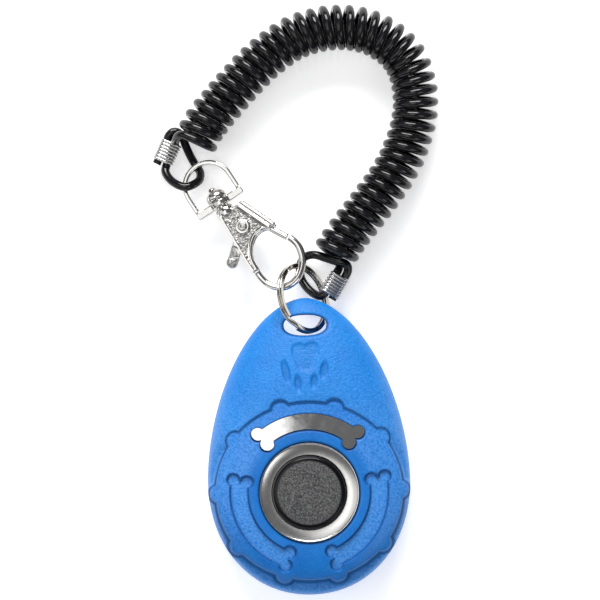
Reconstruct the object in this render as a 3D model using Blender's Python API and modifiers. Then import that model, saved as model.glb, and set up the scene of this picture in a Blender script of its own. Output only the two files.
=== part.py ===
"""Clicker trainer: an egg-shaped training clicker on a split ring, a trigger snap and a coiled wrist cord.

The object lies on its back, as on a table.  All sizes below are millimetres, and are turned into metres
where a mesh is made.  Origin: on the flat back, under the button's axis.  +X is the case's right, +Y
runs from the button to the eyelet nose, +Z is up out of the face.

Run with: blender --background --python part.py
"""

import math

import bmesh
import bpy
from mathutils import Matrix, Vector

MM = 0.001

# ---- case outline: two half ovals that meet at the widest line ----
HALF_WIDTH = 22.3
WIDEST_Y = 2.4
NOSE_LENGTH = 40.1          # widest line to the tip of the nose
NOSE_POWER = 1.8            # a little sharper than an ellipse
HEEL_LENGTH = 25.3          # widest line to the heel
HEEL_POWER = 2.0
WALL = 1.9

# ---- case heights ----
PART_Z = 6.0                # parting plane of the two shells
PART_GAP = 0.15             # each shell stops this short of it
FACE_Z = 15.0
NOSE_FACE_DROP = 2.6        # the face is lower by this at the nose
NOSE_BACK_RISE = 3.0        # the back is higher by this at the nose
FLAT_RADIUS = 11.6          # level land round the bezel
DOME_POWER = 2.3
BACK_FLAT = 0.62            # share of the outline's radius that lies flat on the table
CAVITY_END_Y = 31.5         # forward of this the nose is solid
CAVITY_TOP_Z = 12.0
FLOOR_Z = 1.8

# ---- eyelet ----
EYELET_Y = 36.5
EYELET_FRONT = (4.7, 2.25)  # half width, half height of the hole in the front shell
EYELET_REAR = (5.4, 2.6)

# ---- button, bezel, blade ----
BUTTON_RADIUS = 8.05
BUTTON_TOP_Z = 17.3
BEZEL_INNER = 8.4
BEZEL_OUTER = 10.9
BEZEL_SEAT_Z = 12.6
SHELL_BORE = 9.25
FLANGE_RADIUS = 8.9
BLADE_Z = 8.8
BLADE_THICK = 0.35
BLADE_HALF = 7.0
FOOT_HALF = 13.4
BLADE_SCREW = (8.0, 22.5)
BLADE_ROOT = (0.0, 23.0, 8.98)      # the blade bends about a line through here

# ---- dog-bone reliefs round the bezel ----
BONE_RADIUS = 15.35
BONE_HALF_ANGLE = 40.5      # from the middle of a bone to the centre of its lobes
BONE_SHAFT = 1.85           # half width
BONE_LOBE = 1.55
BONE_LOBE_OFFSET = 1.5      # each lobe's centre is this far in or out of the shaft's middle line
BONE_DEPTH = 0.7

# ---- case screws, from the back ----
CASE_SCREWS = [(0.0, 28.5), (-14.0, -9.0), (14.0, -9.0)]

# ---- split ring ----
RING_CENTRE = Vector((-0.3, 42.4, 7.0))
RING_RADIUS = 7.4           # middle of the wire
RING_HEADING = 107.0        # compass of the level diameter, degrees from +X
RING_TILT = 51.0            # how far the ring's other diameter stands up
RING_WIRE = (1.1, 0.6)      # radial and axial size of the wire
RING_PITCH = 0.72
RING_HINGE = (0.0, 38.5, 7.0)       # the ring rocks in the eyelet about a line through here

# ---- clip frame: x from the bow's arch to the hook, y to the clip's right ----
CLIP_ORIGIN = Vector((-22.9, 71.7, 3.9))
CLIP_HEADING = -58.1
CLIP_RISE = 8.0
BOW_RADIUS = 5.3
BOW_ARCH_X = 4.8
BOW_HINGE_X = -0.3          # the cord's loop bears here, inside the arch
BOW_BASE_X = (8.6, 10.2)
BOW_BAND = (1.1, 1.8)
PIVOT = (16.7, 1.3)         # gate rivet
CHEEK_Z = 1.9
SLOT_Z = 0.95
HOOK_WIRE = 0.9

# ---- cord ----
CORD_RADIUS = 0.95
COIL_RADIUS = 5.15
COIL_Z = 5.5
COIL_ROUTE = [
    (-22.4, 78.9), (-20.3, 82.2), (-16.3, 86.8), (-11.4, 92.0), (-6.1, 96.6), (-0.2, 100.2), (6.6, 101.9),
    (13.4, 101.5), (19.5, 98.8), (23.9, 94.1), (25.6, 87.7), (25.2, 81.1), (22.6, 73.6), (19.4, 68.1),
    (15.8, 63.4), (12.5, 59.4), (9.6, 55.9), (7.5, 52.8),
]
LOOP_A_ROUTE = [
    (6.1, 42.0, 4.0), (6.4, 42.5, 4.0), (7.75, 44.6, 4.0), (9.1, 46.8, 4.0), (9.8, 48.2, 4.2), (9.7, 49.4, 4.6),
    (8.7, 50.1, 4.8), (7.2, 50.4, 4.5), (5.0, 51.2, 3.8), (2.4, 52.0, 3.0), (0.3, 51.5, 2.1), (-0.7, 49.8, 1.4),
    (-0.6, 47.0, 1.4), (0.8, 44.6, 2.3), (2.8, 43.0, 3.5), (4.3, 43.1, 4.0), (5.95, 45.7, 4.0), (7.35, 47.95, 4.0),
    (7.9, 48.9, 3.2), (8.2, 49.9, 2.3),
]
LOOP_B_ROUTE = [
    (-31.9, 73.0, 3.0), (-31.6, 73.6, 3.0), (-30.45, 76.0, 3.0), (-29.4, 78.3, 3.0), (-28.9, 79.3, 3.4),
    (-28.0, 79.9, 3.9), (-26.8, 79.5, 4.0), (-25.6, 78.0, 3.4), (-23.8, 74.8, 1.9), (-23.2, 72.6, 1.4),
    (-22.3, 70.8, 2.3), (-22.6, 69.0, 4.4), (-24.6, 67.8, 6.3), (-26.4, 67.8, 6.3), (-28.6, 69.1, 4.9),
    (-29.9, 71.0, 3.5), (-29.7, 72.6, 3.0), (-28.55, 75.1, 3.0), (-27.5, 77.35, 3.0), (-27.0, 78.4, 2.5),
    (-26.7, 79.2, 1.7),
]
SLEEVE_A = ((6.85, 45.15, 4.0), 58.0, 5.0)       # middle, heading, length
SLEEVE_B = ((-29.5, 75.57, 3.0), 64.6, 4.9)
SLEEVE_HALF = (2.5, 1.45)                        # outer half width and half height
STRAND_OFFSET = 1.05
STRAND_BORE = 1.22

# ---- what moves together ----
STRAP_PARTS = ["wrist_coil", "cord_loop_a", "cord_loop_b", "crimp_sleeve_a", "crimp_sleeve_b"]
CLIP_PARTS = ["clip_body", "swivel_rivet", "gate_rivet", "gate_spring"]


# ------------------------------------------------------------------ collections and materials

def clear_scene():
    for ob in list(bpy.data.objects):
        bpy.data.objects.remove(ob, do_unlink=True)


def new_collection(name):
    coll = bpy.data.collections.new(name)
    bpy.context.scene.collection.children.link(coll)
    return coll


def material(name, colour, roughness, metallic=0.0):
    mat = bpy.data.materials.new(name)
    mat.use_nodes = True
    shader = mat.node_tree.nodes["Principled BSDF"]
    shader.inputs["Base Color"].default_value = (*colour, 1.0)
    shader.inputs["Roughness"].default_value = roughness
    shader.inputs["Metallic"].default_value = metallic
    mat.diffuse_color = (*colour, 1.0)
    return mat


clear_scene()
PARTS = new_collection("clicker_trainer")
CUTTERS = new_collection("cutters")


# ------------------------------------------------------------------ mesh helpers

def add_object(name, mesh, coll):
    ob = bpy.data.objects.new(name, mesh)
    coll.objects.link(ob)
    return ob


def finish_part(ob, mat):
    """Move a finished solid into the parts collection under its own material."""
    for coll in list(ob.users_collection):
        coll.objects.unlink(ob)
    PARTS.objects.link(ob)
    ob.hide_render = False
    ob.display_type = "TEXTURED"
    ob.data.materials.clear()
    ob.data.materials.append(mat)
    return ob


def hide_cutter(ob):
    ob.hide_render = True
    ob.display_type = "WIRE"
    return ob


def baked(ob):
    """Turn an object with modifiers, or a curve, into a plain welded mesh in the cutters collection."""
    bpy.context.view_layer.update()
    graph = bpy.context.evaluated_depsgraph_get()
    mesh = bpy.data.meshes.new_from_object(ob.evaluated_get(graph))
    name = ob.name
    bpy.data.objects.remove(ob, do_unlink=True)
    bm = bmesh.new()
    bm.from_mesh(mesh)
    bmesh.ops.remove_doubles(bm, verts=bm.verts, dist=1e-6)
    bmesh.ops.recalc_face_normals(bm, faces=bm.faces)
    bm.to_mesh(mesh)
    bm.free()
    mesh.name = name
    return hide_cutter(add_object(name, mesh, CUTTERS))


def revolve(name, profile, steps=64):
    """Turn a closed half section of (radius, height) points about Z; it runs down its outer side."""
    bm = bmesh.new()
    verts = [bm.verts.new((r * MM, 0.0, z * MM)) for r, z in profile]
    on_axis = profile[0][0] == 0.0 and profile[-1][0] == 0.0
    pairs = list(zip(verts, verts[1:]))
    if not on_axis:
        pairs.append((verts[-1], verts[0]))
    for pair in pairs:
        bm.edges.new(pair)
    mesh = bpy.data.meshes.new(name)
    bm.to_mesh(mesh)
    bm.free()
    ob = add_object(name, mesh, CUTTERS)
    screw = ob.modifiers.new("turn", "SCREW")
    screw.axis = "Z"
    screw.steps = steps
    screw.render_steps = steps
    screw.use_merge_vertices = True
    screw.merge_threshold = 1e-6
    return baked(ob)


def prism(name, outline, low, high):
    """Stand a closed (x, y) outline up between two heights."""
    bm = bmesh.new()
    face = bm.faces.new([bm.verts.new((x * MM, y * MM, low * MM)) for x, y in outline])
    grown = bmesh.ops.extrude_face_region(bm, geom=[face])
    lifted = [item for item in grown["geom"] if isinstance(item, bmesh.types.BMVert)]
    bmesh.ops.translate(bm, verts=lifted, vec=(0.0, 0.0, (high - low) * MM))
    bmesh.ops.recalc_face_normals(bm, faces=bm.faces)
    mesh = bpy.data.meshes.new(name)
    bm.to_mesh(mesh)
    bm.free()
    return hide_cutter(add_object(name, mesh, CUTTERS))


def cylinder(name, x, y, radius, low, high, sides=32):
    return prism(name, [(x + px, y + py) for px, py in circle(radius, sides)], low, high)


def tube(name, points, radius, resolution=2, smooth=True):
    """A round cord or wire along points, with flat ends."""
    curve = bpy.data.curves.new(name, "CURVE")
    curve.dimensions = "3D"
    curve.bevel_depth = radius * MM
    curve.bevel_resolution = resolution
    curve.use_fill_caps = True
    curve.resolution_u = 3
    spline = curve.splines.new("BEZIER" if smooth else "POLY")
    if smooth:
        spline.bezier_points.add(len(points) - 1)
        for knot, point in zip(spline.bezier_points, points):
            knot.co = Vector(point) * MM
            knot.handle_left_type = "AUTO"
            knot.handle_right_type = "AUTO"
    else:
        spline.points.add(len(points) - 1)
        for knot, point in zip(spline.points, points):
            knot.co = (*(Vector(point) * MM), 1.0)
    return baked(add_object(name, curve, CUTTERS))


def place(ob, matrix):
    """Bake a placement, given in millimetres, into an object's mesh."""
    scaled = matrix.copy()
    scaled.translation = matrix.translation * MM
    ob.data.transform(scaled)
    return ob


def boolean(ob, cutter, operation="DIFFERENCE"):
    mod = ob.modifiers.new(f"{operation.lower()}_{cutter.name}", "BOOLEAN")
    mod.object = cutter
    mod.operation = operation
    mod.solver = "EXACT"
    return ob


def combine(ob, unions, cuts=()):
    for piece in unions:
        boolean(ob, piece, "UNION")
    for piece in cuts:
        boolean(ob, piece, "DIFFERENCE")
    return baked_keep(ob)


def baked_keep(ob):
    """Apply the modifiers of a part, then drop the helper solids that it used."""
    helpers = [mod.object for mod in ob.modifiers if mod.type == "BOOLEAN"]
    solid = baked(ob)
    for helper in helpers:
        bpy.data.objects.remove(helper, do_unlink=True)
    return solid


# ------------------------------------------------------------------ outlines and surfaces

def circle(radius, sides=32):
    turn = 2.0 * math.pi / sides
    return [(radius * math.cos(i * turn), radius * math.sin(i * turn)) for i in range(sides)]


def oval(half_x, half_y, centre_y, power=2.3, sides=40):
    points = []
    for i in range(sides):
        angle = 2.0 * math.pi * i / sides
        c, s = math.cos(angle), math.sin(angle)
        x = half_x * math.copysign(abs(c) ** (2.0 / power), c)
        y = half_y * math.copysign(abs(s) ** (2.0 / power), s)
        points.append((x, centre_y + y))
    return points


def inside_egg(x, y):
    if y > WIDEST_Y:
        reach, power = NOSE_LENGTH, NOSE_POWER
    else:
        reach, power = HEEL_LENGTH, HEEL_POWER
    return abs(x / HALF_WIDTH) ** power + abs((y - WIDEST_Y) / reach) ** power < 1.0


def egg_radius(angle):
    """Distance from the button's axis to the outline in one direction."""
    low, high = 5.0, 60.0
    for _ in range(40):
        middle = 0.5 * (low + high)
        if inside_egg(middle * math.cos(angle), middle * math.sin(angle)):
            low = middle
        else:
            high = middle
    return low


def cavity_radius(angle):
    """The outline less the wall, stopped short of the solid nose."""
    reach = egg_radius(angle) - WALL
    if math.sin(angle) > 0.1:
        reach = min(reach, CAVITY_END_Y / math.sin(angle))
    return reach


def ease(low, high, value):
    t = min(1.0, max(0.0, (value - low) / (high - low)))
    return t * t * (3.0 - 2.0 * t)


def dome(share, power):
    return max(0.0, 1.0 - share ** power) ** (1.0 / power)


def face_height(x, y, reach, top):
    """Height of a domed face, level round the button and steep at its rim."""
    share = max(0.0, (math.hypot(x, y) - FLAT_RADIUS) / (reach - FLAT_RADIUS))
    rise = top - PART_Z - NOSE_FACE_DROP * ease(20.0, 42.0, y)
    return PART_Z + rise * dome(min(1.0, share), DOME_POWER)


def back_height(x, y, reach, bottom):
    share = max(0.0, (math.hypot(x, y) / reach - BACK_FLAT) / (1.0 - BACK_FLAT))
    fall = PART_Z - bottom - NOSE_BACK_RISE * ease(27.0, 36.0, y)
    return PART_Z - fall * dome(min(1.0, share), 2.0)


def shell_blank(name, outline, height, flat_z, rings=14, sides=72):
    """A solid between a level cut at flat_z and a curved face over an outline."""
    bm = bmesh.new()
    curved = []
    level = []
    for ring in range(1, rings + 1):
        share = math.sin(0.5 * math.pi * ring / rings)
        row = []
        for i in range(sides):
            angle = 2.0 * math.pi * i / sides
            reach = outline(angle)
            x, y = share * reach * math.cos(angle), share * reach * math.sin(angle)
            row.append(bm.verts.new((x * MM, y * MM, height(x, y, reach) * MM)))
        curved.append(row)
    for vert in curved[-1]:
        vert.co.z = flat_z * MM
        level.append(vert)
    pole = bm.verts.new((0.0, 0.0, height(0.0, 0.0, outline(0.0)) * MM))
    for i in range(sides):
        j = (i + 1) % sides
        bm.faces.new((pole, curved[0][i], curved[0][j]))
        for inner, outer in zip(curved, curved[1:]):
            bm.faces.new((inner[i], outer[i], outer[j], inner[j]))
    bm.faces.new(level)
    bmesh.ops.recalc_face_normals(bm, faces=bm.faces)
    mesh = bpy.data.meshes.new(name)
    bm.to_mesh(mesh)
    bm.free()
    return hide_cutter(add_object(name, mesh, CUTTERS))


def bone_cutter(name, middle_angle, low, high):
    """A curved dog bone: an arc-shaped shaft with two round lobes at each end."""
    inner, outer = [], []
    for i in range(17):
        angle = math.radians(middle_angle + BONE_HALF_ANGLE * (i / 8.0 - 1.0))
        for row, radius in ((inner, BONE_RADIUS - BONE_SHAFT), (outer, BONE_RADIUS + BONE_SHAFT)):
            row.append((radius * math.cos(angle), radius * math.sin(angle)))
    shaft = prism(name, inner + outer[::-1], low, high)
    lobes = []
    for side in (-1.0, 1.0):
        angle = math.radians(middle_angle + side * BONE_HALF_ANGLE)
        for offset in (-BONE_LOBE_OFFSET, BONE_LOBE_OFFSET):
            radius = BONE_RADIUS + offset
            x, y = radius * math.cos(angle), radius * math.sin(angle)
            lobes.append(cylinder(f"{name}_lobe", x, y, BONE_LOBE, low, high, 20))
    return combine(shaft, lobes)


# ------------------------------------------------------------------ case

def build_front_shell():
    shell = shell_blank("front_shell", egg_radius,
                        lambda x, y, r: face_height(x, y, r, FACE_Z), PART_Z + PART_GAP)
    cavity = shell_blank("front_cavity", cavity_radius,
                         lambda x, y, r: face_height(x, y, r, CAVITY_TOP_Z), PART_Z - 1.0, 10, 48)
    shell = combine(shell, [], [cavity])
    bosses = [cylinder("boss", x, y, 2.4, PART_Z + PART_GAP, 12.6, 24) for x, y in CASE_SCREWS]
    shell = combine(shell, bosses)
    cuts = [cylinder("pilot", x, y, 1.15, PART_Z - 1.0, 10.8, 20) for x, y in CASE_SCREWS]
    cuts.append(cylinder("seat", 0.0, 0.0, BEZEL_OUTER + 0.25, BEZEL_SEAT_Z, 20.0, 64))
    cuts.append(cylinder("bore", 0.0, 0.0, SHELL_BORE, 5.0, 20.0, 64))
    cuts.append(prism("eyelet", oval(*EYELET_FRONT, EYELET_Y), 2.0, 20.0))
    cuts.append(bone_cutter("bone_window", 90.0, 8.0, 20.0))
    shell = combine(shell, [], cuts)
    for index, angle in enumerate((-30.0, 210.0)):
        recess = bone_cutter(f"bone_recess_{index}", angle, 8.0, 20.0)
        below = shell_blank("below_recess", egg_radius,
                            lambda x, y, r: face_height(x, y, r, FACE_Z) - BONE_DEPTH, 5.0)
        shell = combine(shell, [], [combine(recess, [], [below])])
    return shell


def build_rear_shell():
    shell = shell_blank("rear_shell", egg_radius,
                        lambda x, y, r: back_height(x, y, r, 0.0), PART_Z - PART_GAP)
    cavity = shell_blank("rear_cavity", cavity_radius,
                         lambda x, y, r: min(PART_Z - 0.01, back_height(x, y, r, FLOOR_Z)), PART_Z + 1.0, 10, 48)
    shell = combine(shell, [], [cavity])
    bosses = [cylinder("boss", x, y, 2.4, 1.2, PART_Z - PART_GAP, 24) for x, y in CASE_SCREWS]
    bosses += [cylinder("post", side * BLADE_SCREW[0], BLADE_SCREW[1], 2.2, 1.2, BLADE_Z - 0.25, 24)
               for side in (-1.0, 1.0)]
    shell = combine(shell, bosses)
    cuts = []
    for x, y in CASE_SCREWS:
        cuts.append(cylinder("clearance", x, y, 1.2, -1.0, 8.0, 20))
        cuts.append(cylinder("counterbore", x, y, 2.0, -1.0, 3.2, 24))
    for side in (-1.0, 1.0):
        cuts.append(cylinder("pilot", side * BLADE_SCREW[0], BLADE_SCREW[1], 1.0, 3.5, 12.0, 20))
    cuts.append(prism("eyelet", oval(*EYELET_REAR, EYELET_Y), -1.0, 8.0))
    return combine(shell, [], cuts)


def build_screw(name, x, y, head_low, head_high, tip, head_radius, shank):
    """A round-headed screw; the head is the end nearer head_low."""
    if tip > head_high:
        profile = [(0.0, tip), (shank, tip - shank), (shank, head_high), (head_radius, head_high),
                   (head_radius, head_low + 0.3), (head_radius - 0.5, head_low), (0.0, head_low)]
    else:
        profile = [(0.0, head_high), (head_radius - 0.5, head_high), (head_radius, head_high - 0.35),
                   (head_radius, head_low), (shank, head_low), (shank, tip + shank), (0.0, tip)]
    screw = revolve(name, profile, 24)
    return place(screw, Matrix.Translation((x, y, 0.0)))


def build_bezel():
    profile = [(BEZEL_INNER, 13.9), (BEZEL_OUTER - 0.35, 15.4), (BEZEL_OUTER, 15.15),
               (BEZEL_OUTER, BEZEL_SEAT_Z + 0.25), (BEZEL_INNER, BEZEL_SEAT_Z + 0.25)]
    return revolve("bezel_ring", profile, 72)


def build_button():
    top = BUTTON_TOP_Z
    profile = [(0.0, top), (4.0, top - 0.06), (7.2, top - 0.25), (7.75, top - 0.5), (BUTTON_RADIUS, top - 1.0),
               (BUTTON_RADIUS, 12.5), (FLANGE_RADIUS, 12.5), (FLANGE_RADIUS, 11.3), (6.6, 11.3), (6.6, 15.5),
               (1.6, 15.5), (1.6, BLADE_Z + 0.2), (0.0, BLADE_Z + 0.2)]
    return revolve("button_cap", profile, 72)


def blade_outline():
    tip = [(BLADE_HALF * math.cos(math.radians(a)), -6.0 + BLADE_HALF * math.sin(math.radians(a)))
           for a in range(180, 361, 15)]
    right = [(BLADE_HALF, 5.5), (8.6, 7.6), (11.6, 8.2), (FOOT_HALF, 10.2), (FOOT_HALF, 20.0), (10.4, 24.9)]
    return tip + right + [(-x, y) for x, y in right[::-1]]


def build_blade():
    blade = prism("click_blade", blade_outline(), BLADE_Z, BLADE_Z + BLADE_THICK)
    dish_out = revolve("dish_out", [(0.0, BLADE_Z + 0.2), (3.6, BLADE_Z + 0.2), (3.6, BLADE_Z - 0.02),
                                    (2.4, BLADE_Z - 0.35), (0.0, BLADE_Z - 0.6)], 36)
    dish_in = revolve("dish_in", [(0.0, BLADE_Z + 1.0), (3.5, BLADE_Z + 1.0), (3.5, BLADE_Z + 0.33),
                                  (2.3, BLADE_Z), (0.0, BLADE_Z - 0.25)], 36)
    holes = [cylinder("hole", side * BLADE_SCREW[0], BLADE_SCREW[1], 1.35, 0.0, 12.0, 20) for side in (-1.0, 1.0)]
    return combine(blade, [dish_out], [dish_in] + holes)


# ------------------------------------------------------------------ split ring

def ring_frame():
    """Matrix whose x is the ring's level diameter, y its raised one and z its axis."""
    heading = math.radians(RING_HEADING)
    tilt = math.radians(RING_TILT)
    along = Vector((math.cos(heading), math.sin(heading), 0.0))
    side = Vector((-math.sin(heading), math.cos(heading), 0.0))
    raised = side * math.cos(tilt) + Vector((0.0, 0.0, math.sin(tilt)))
    axis = along.cross(raised)
    frame = Matrix((along, raised, axis)).transposed().to_4x4()
    frame.translation = RING_CENTRE
    return frame


def build_split_ring():
    """Two turns of flat wire lying on each other, with one crossing step."""
    section = bpy.data.curves.new("ring_section", "CURVE")
    section.dimensions = "2D"
    corner = section.splines.new("POLY")
    corner.points.add(3)
    half_radial, half_axial = 0.5 * RING_WIRE[0], 0.5 * RING_WIRE[1]
    corners = ((-half_radial, -half_axial), (half_radial, -half_axial),
               (half_radial, half_axial), (-half_radial, half_axial))
    for knot, (x, y) in zip(corner.points, corners):
        knot.co = (x * MM, y * MM, 0.0, 1.0)
    corner.use_cyclic_u = True
    section_ob = add_object("ring_section", section, CUTTERS)
    path = bpy.data.curves.new("split_ring", "CURVE")
    path.dimensions = "3D"
    path.twist_mode = "Z_UP"
    path.bevel_mode = "OBJECT"
    path.bevel_object = section_ob
    path.use_fill_caps = True
    wire = path.splines.new("POLY")
    steps = 80
    start, end = 14.0, 706.0
    seam = 125.0
    wire.points.add(steps)
    for i, knot in enumerate(wire.points):
        turned = start + (end - start) * i / steps
        lift = RING_PITCH * (ease(346.0, 374.0, turned) - 0.5)
        angle = math.radians(seam + turned)
        knot.co = (RING_RADIUS * math.cos(angle) * MM, RING_RADIUS * math.sin(angle) * MM, lift * MM, 1.0)
    ring = baked(add_object("split_ring", path, CUTTERS))
    bpy.data.objects.remove(section_ob, do_unlink=True)
    return place(ring, ring_frame())


# ------------------------------------------------------------------ trigger snap

def clip_frame():
    turn = Matrix.Rotation(math.radians(CLIP_HEADING), 4, "Z")
    rise = Matrix.Rotation(math.radians(-CLIP_RISE), 4, "Y")
    return Matrix.Translation(CLIP_ORIGIN) @ turn @ rise


def along_clip(ob):
    """Lay a solid that was turned about Z along the clip's length."""
    return place(ob, Matrix.Rotation(math.radians(90.0), 4, "Y"))


def spindle(name, profile, steps=32):
    """A part turned about the clip's length; its profile is (radius, x), outer side from the far end."""
    return along_clip(revolve(name, profile, steps))


def build_swivel_bow():
    half_band = 0.5 * BOW_BAND[0]
    arc = [math.radians(a) for a in range(90, 271, 12)]
    outline = [(BOW_BASE_X[0] + 0.4, BOW_RADIUS + half_band)]
    outline += [(BOW_ARCH_X + (BOW_RADIUS + half_band) * math.cos(a), (BOW_RADIUS + half_band) * math.sin(a))
                for a in arc]
    outline += [(BOW_BASE_X[0] + 0.4, -BOW_RADIUS - half_band), (BOW_BASE_X[0] + 0.4, -BOW_RADIUS + half_band)]
    outline += [(BOW_ARCH_X + (BOW_RADIUS - half_band) * math.cos(a), (BOW_RADIUS - half_band) * math.sin(a))
                for a in arc[::-1]]
    outline += [(BOW_BASE_X[0] + 0.4, BOW_RADIUS - half_band)]
    bow = prism("swivel_bow", outline, -0.5 * BOW_BAND[1], 0.5 * BOW_BAND[1])
    low, high = BOW_BASE_X
    reach = BOW_RADIUS + half_band
    base = prism("base", [(low, -reach), (high, -reach), (high, reach), (low, reach)], -0.95, 0.95)
    eye = spindle("eye", [(0.0, high), (2.0, high), (2.3, high - 0.3), (2.3, low + 0.3), (2.0, low), (0.0, low)])
    bore = spindle("bore", [(0.0, 14.0), (1.5, 14.0), (1.5, 5.0), (0.0, 5.0)])
    return place(combine(bow, [base, eye], [bore]), clip_frame())


def build_swivel_rivet():
    rivet = spindle("swivel_rivet", [(0.0, 12.7), (1.1, 12.7), (1.25, 12.5), (1.25, 8.3), (2.4, 8.3), (2.4, 7.5),
                                     (1.7, 6.5), (0.0, 6.1)], 32)
    return place(rivet, clip_frame())


CHEEK_OUTLINE = [
    (11.9, -1.8), (24.0, -2.4), (27.0, -2.35), (27.0, -0.75), (24.0, -0.6), (22.2, 0.1), (20.7, 1.3),
    (19.7, 3.0), (19.6, 4.6), (20.3, 6.0), (20.3, 7.6), (11.9, 4.2),
]
RAIL_OUTLINE = [(12.2, 2.5), (20.2, 5.85), (20.3, 7.7), (19.9, 7.7), (12.0, 4.4)]
HOOK_LINE = [
    (23.5, -1.5), (25.5, -1.5), (28.2, -1.45), (30.4, -0.85), (32.2, 0.7), (33.0, 2.7), (32.8, 4.9), (31.5, 7.0),
    (29.6, 8.5), (27.2, 9.2), (25.6, 9.1), (24.6, 8.85),
]


def build_clip_body():
    body = prism("clip_body", CHEEK_OUTLINE, -CHEEK_Z, CHEEK_Z)
    rail = prism("rail", RAIL_OUTLINE, -CHEEK_Z - 0.4, CHEEK_Z + 0.4)
    collar = spindle("collar", [(0.0, 12.6), (2.2, 12.6), (2.2, 10.9), (1.9, 10.6), (0.0, 10.6)])
    hook = tube("hook", [(x, y, 0.0) for x, y in HOOK_LINE], HOOK_WIRE, 3)
    boss = cylinder("pivot_boss", *PIVOT, 1.6, -CHEEK_Z - 0.35, CHEEK_Z + 0.35, 32)
    slot = prism("slot", [(13.6, -6.0), (24.3, -6.0), (24.3, 10.0), (13.6, 10.0)], -SLOT_Z, SLOT_Z)
    rivet_hole = cylinder("rivet_hole", *PIVOT, 1.0, -5.0, 5.0, 24)
    swivel_hole = spindle("swivel_hole", [(0.0, 12.95), (1.4, 12.95), (1.4, 9.0), (0.0, 9.0)])
    solid = combine(body, [rail, collar, boss], [slot, rivet_hole, swivel_hole])
    return place(combine(solid, [hook]), clip_frame())


def build_gate():
    """The lever inside the clip: its bar closes the hook, its tab is the thumb trigger."""
    x, y = PIVOT
    hub = cylinder("clip_gate", x, y, 1.9, -0.75, 0.0, 32)
    arm = prism("arm", [(x - 0.9, y + 1.0), (x + 1.5, y - 0.3), (19.6, 4.7), (19.0, 6.3), (17.2, 5.5)], -0.75, 0.0)
    bar = tube("bar", [(17.6, 4.95, 0.0), (23.6, 8.1, 0.0)], 0.8, 2, smooth=False)
    lever = prism("lever", [(x - 1.0, y - 0.6), (20.9, -5.6), (22.7, -4.2), (x + 1.4, y + 0.6)], -0.75, 0.0)
    tab = prism("tab", [(21.9 + 1.25 * px, -5.0 + 1.25 * py) for px, py in circle(1.0, 24)], -0.95, 0.95)
    hole = cylinder("hole", x, y, 0.98, -3.0, 3.0, 24)
    return place(combine(hub, [arm, bar, lever, tab], [hole]), clip_frame())


def build_gate_rivet():
    high = CHEEK_Z + 0.6
    rivet = revolve("gate_rivet", [(0.0, high + 0.35), (0.7, high + 0.25), (1.25, high), (0.72, high - 0.05),
                                   (0.72, -high + 0.05), (1.25, -high), (0.7, -high - 0.25), (0.0, -high - 0.35)], 24)
    return place(rivet, clip_frame() @ Matrix.Translation((*PIVOT, 0.0)))


def build_gate_spring():
    """A turn and a quarter of wire round the rivet, over the lever, with a leg against the neck."""
    x, y = PIVOT
    points = [(13.95, y + 1.3, 0.24), (15.4, y + 1.3, 0.24)]
    for i in range(16):
        angle = math.radians(90.0 - 30.0 * i)
        points.append((x + 1.3 * math.cos(angle), y + 1.3 * math.sin(angle), 0.24 + 0.48 * i / 15.0))
    points.append((x + 1.3, y - 2.2, 0.72))
    spring = tube("gate_spring", points, 0.15, 1, smooth=False)
    return place(spring, clip_frame())


# ------------------------------------------------------------------ cord and sleeves

def build_coil():
    return tube("wrist_coil", [(x, y, COIL_Z) for x, y in COIL_ROUTE], COIL_RADIUS, 4)


def sleeve_outline(half_width, half_height, sides=9):
    """A flattened ring section: two half circles joined by straight sides."""
    points = []
    for side in (1.0, -1.0):
        for i in range(sides):
            angle = math.radians(-90.0 + 180.0 * i / (sides - 1))
            points.append((side * (half_width - half_height + half_height * math.cos(angle)),
                           side * half_height * math.sin(angle)))
    return points


def build_sleeve(name, spec):
    middle, heading, length = spec
    sleeve = prism(name, sleeve_outline(*SLEEVE_HALF), -0.5 * length, 0.5 * length)
    bore = prism("bore", sleeve_outline(STRAND_OFFSET + STRAND_BORE - 0.02, STRAND_BORE - 0.02), -9.0, 9.0)
    sleeve = combine(sleeve, [], [bore])
    along = Vector((math.cos(math.radians(heading)), math.sin(math.radians(heading)), 0.0))
    across = Vector((along.y, -along.x, 0.0))
    frame = Matrix((across, Vector((0.0, 0.0, 1.0)), -along)).transposed().to_4x4()
    frame.translation = Vector(middle)
    return place(sleeve, frame)


# ------------------------------------------------------------------ assembly

def pivot(name, point, parts):
    """An empty on a joint's axis that carries the pieces which move on it."""
    empty = bpy.data.objects.new(name, None)
    PARTS.objects.link(empty)
    empty.location = Vector(point) * MM
    empty.empty_display_size = 3.0 * MM
    bpy.context.view_layer.update()
    for part_name in parts:
        part = bpy.data.objects[part_name]
        part.parent = empty
        part.matrix_parent_inverse = empty.matrix_world.inverted()


def add_pivots():
    arch = clip_frame() @ Vector((BOW_HINGE_X, 0.0, 0.0))
    swivel = clip_frame() @ Vector((BOW_BASE_X[0], 0.0, 0.0))
    gate = clip_frame() @ Vector((*PIVOT, 0.0))
    pivot("button_axis", (0.0, 0.0, BUTTON_TOP_Z), ["button_cap"])
    pivot("blade_root", BLADE_ROOT, ["click_blade"])
    pivot("eyelet_axis", RING_HINGE, ["split_ring"])
    pivot("strap_axis", RING_CENTRE, STRAP_PARTS)
    pivot("bow_axis", arch, ["swivel_bow"])
    pivot("swivel_axis", swivel, CLIP_PARTS)
    pivot("gate_axis", gate, ["clip_gate"])


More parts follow.
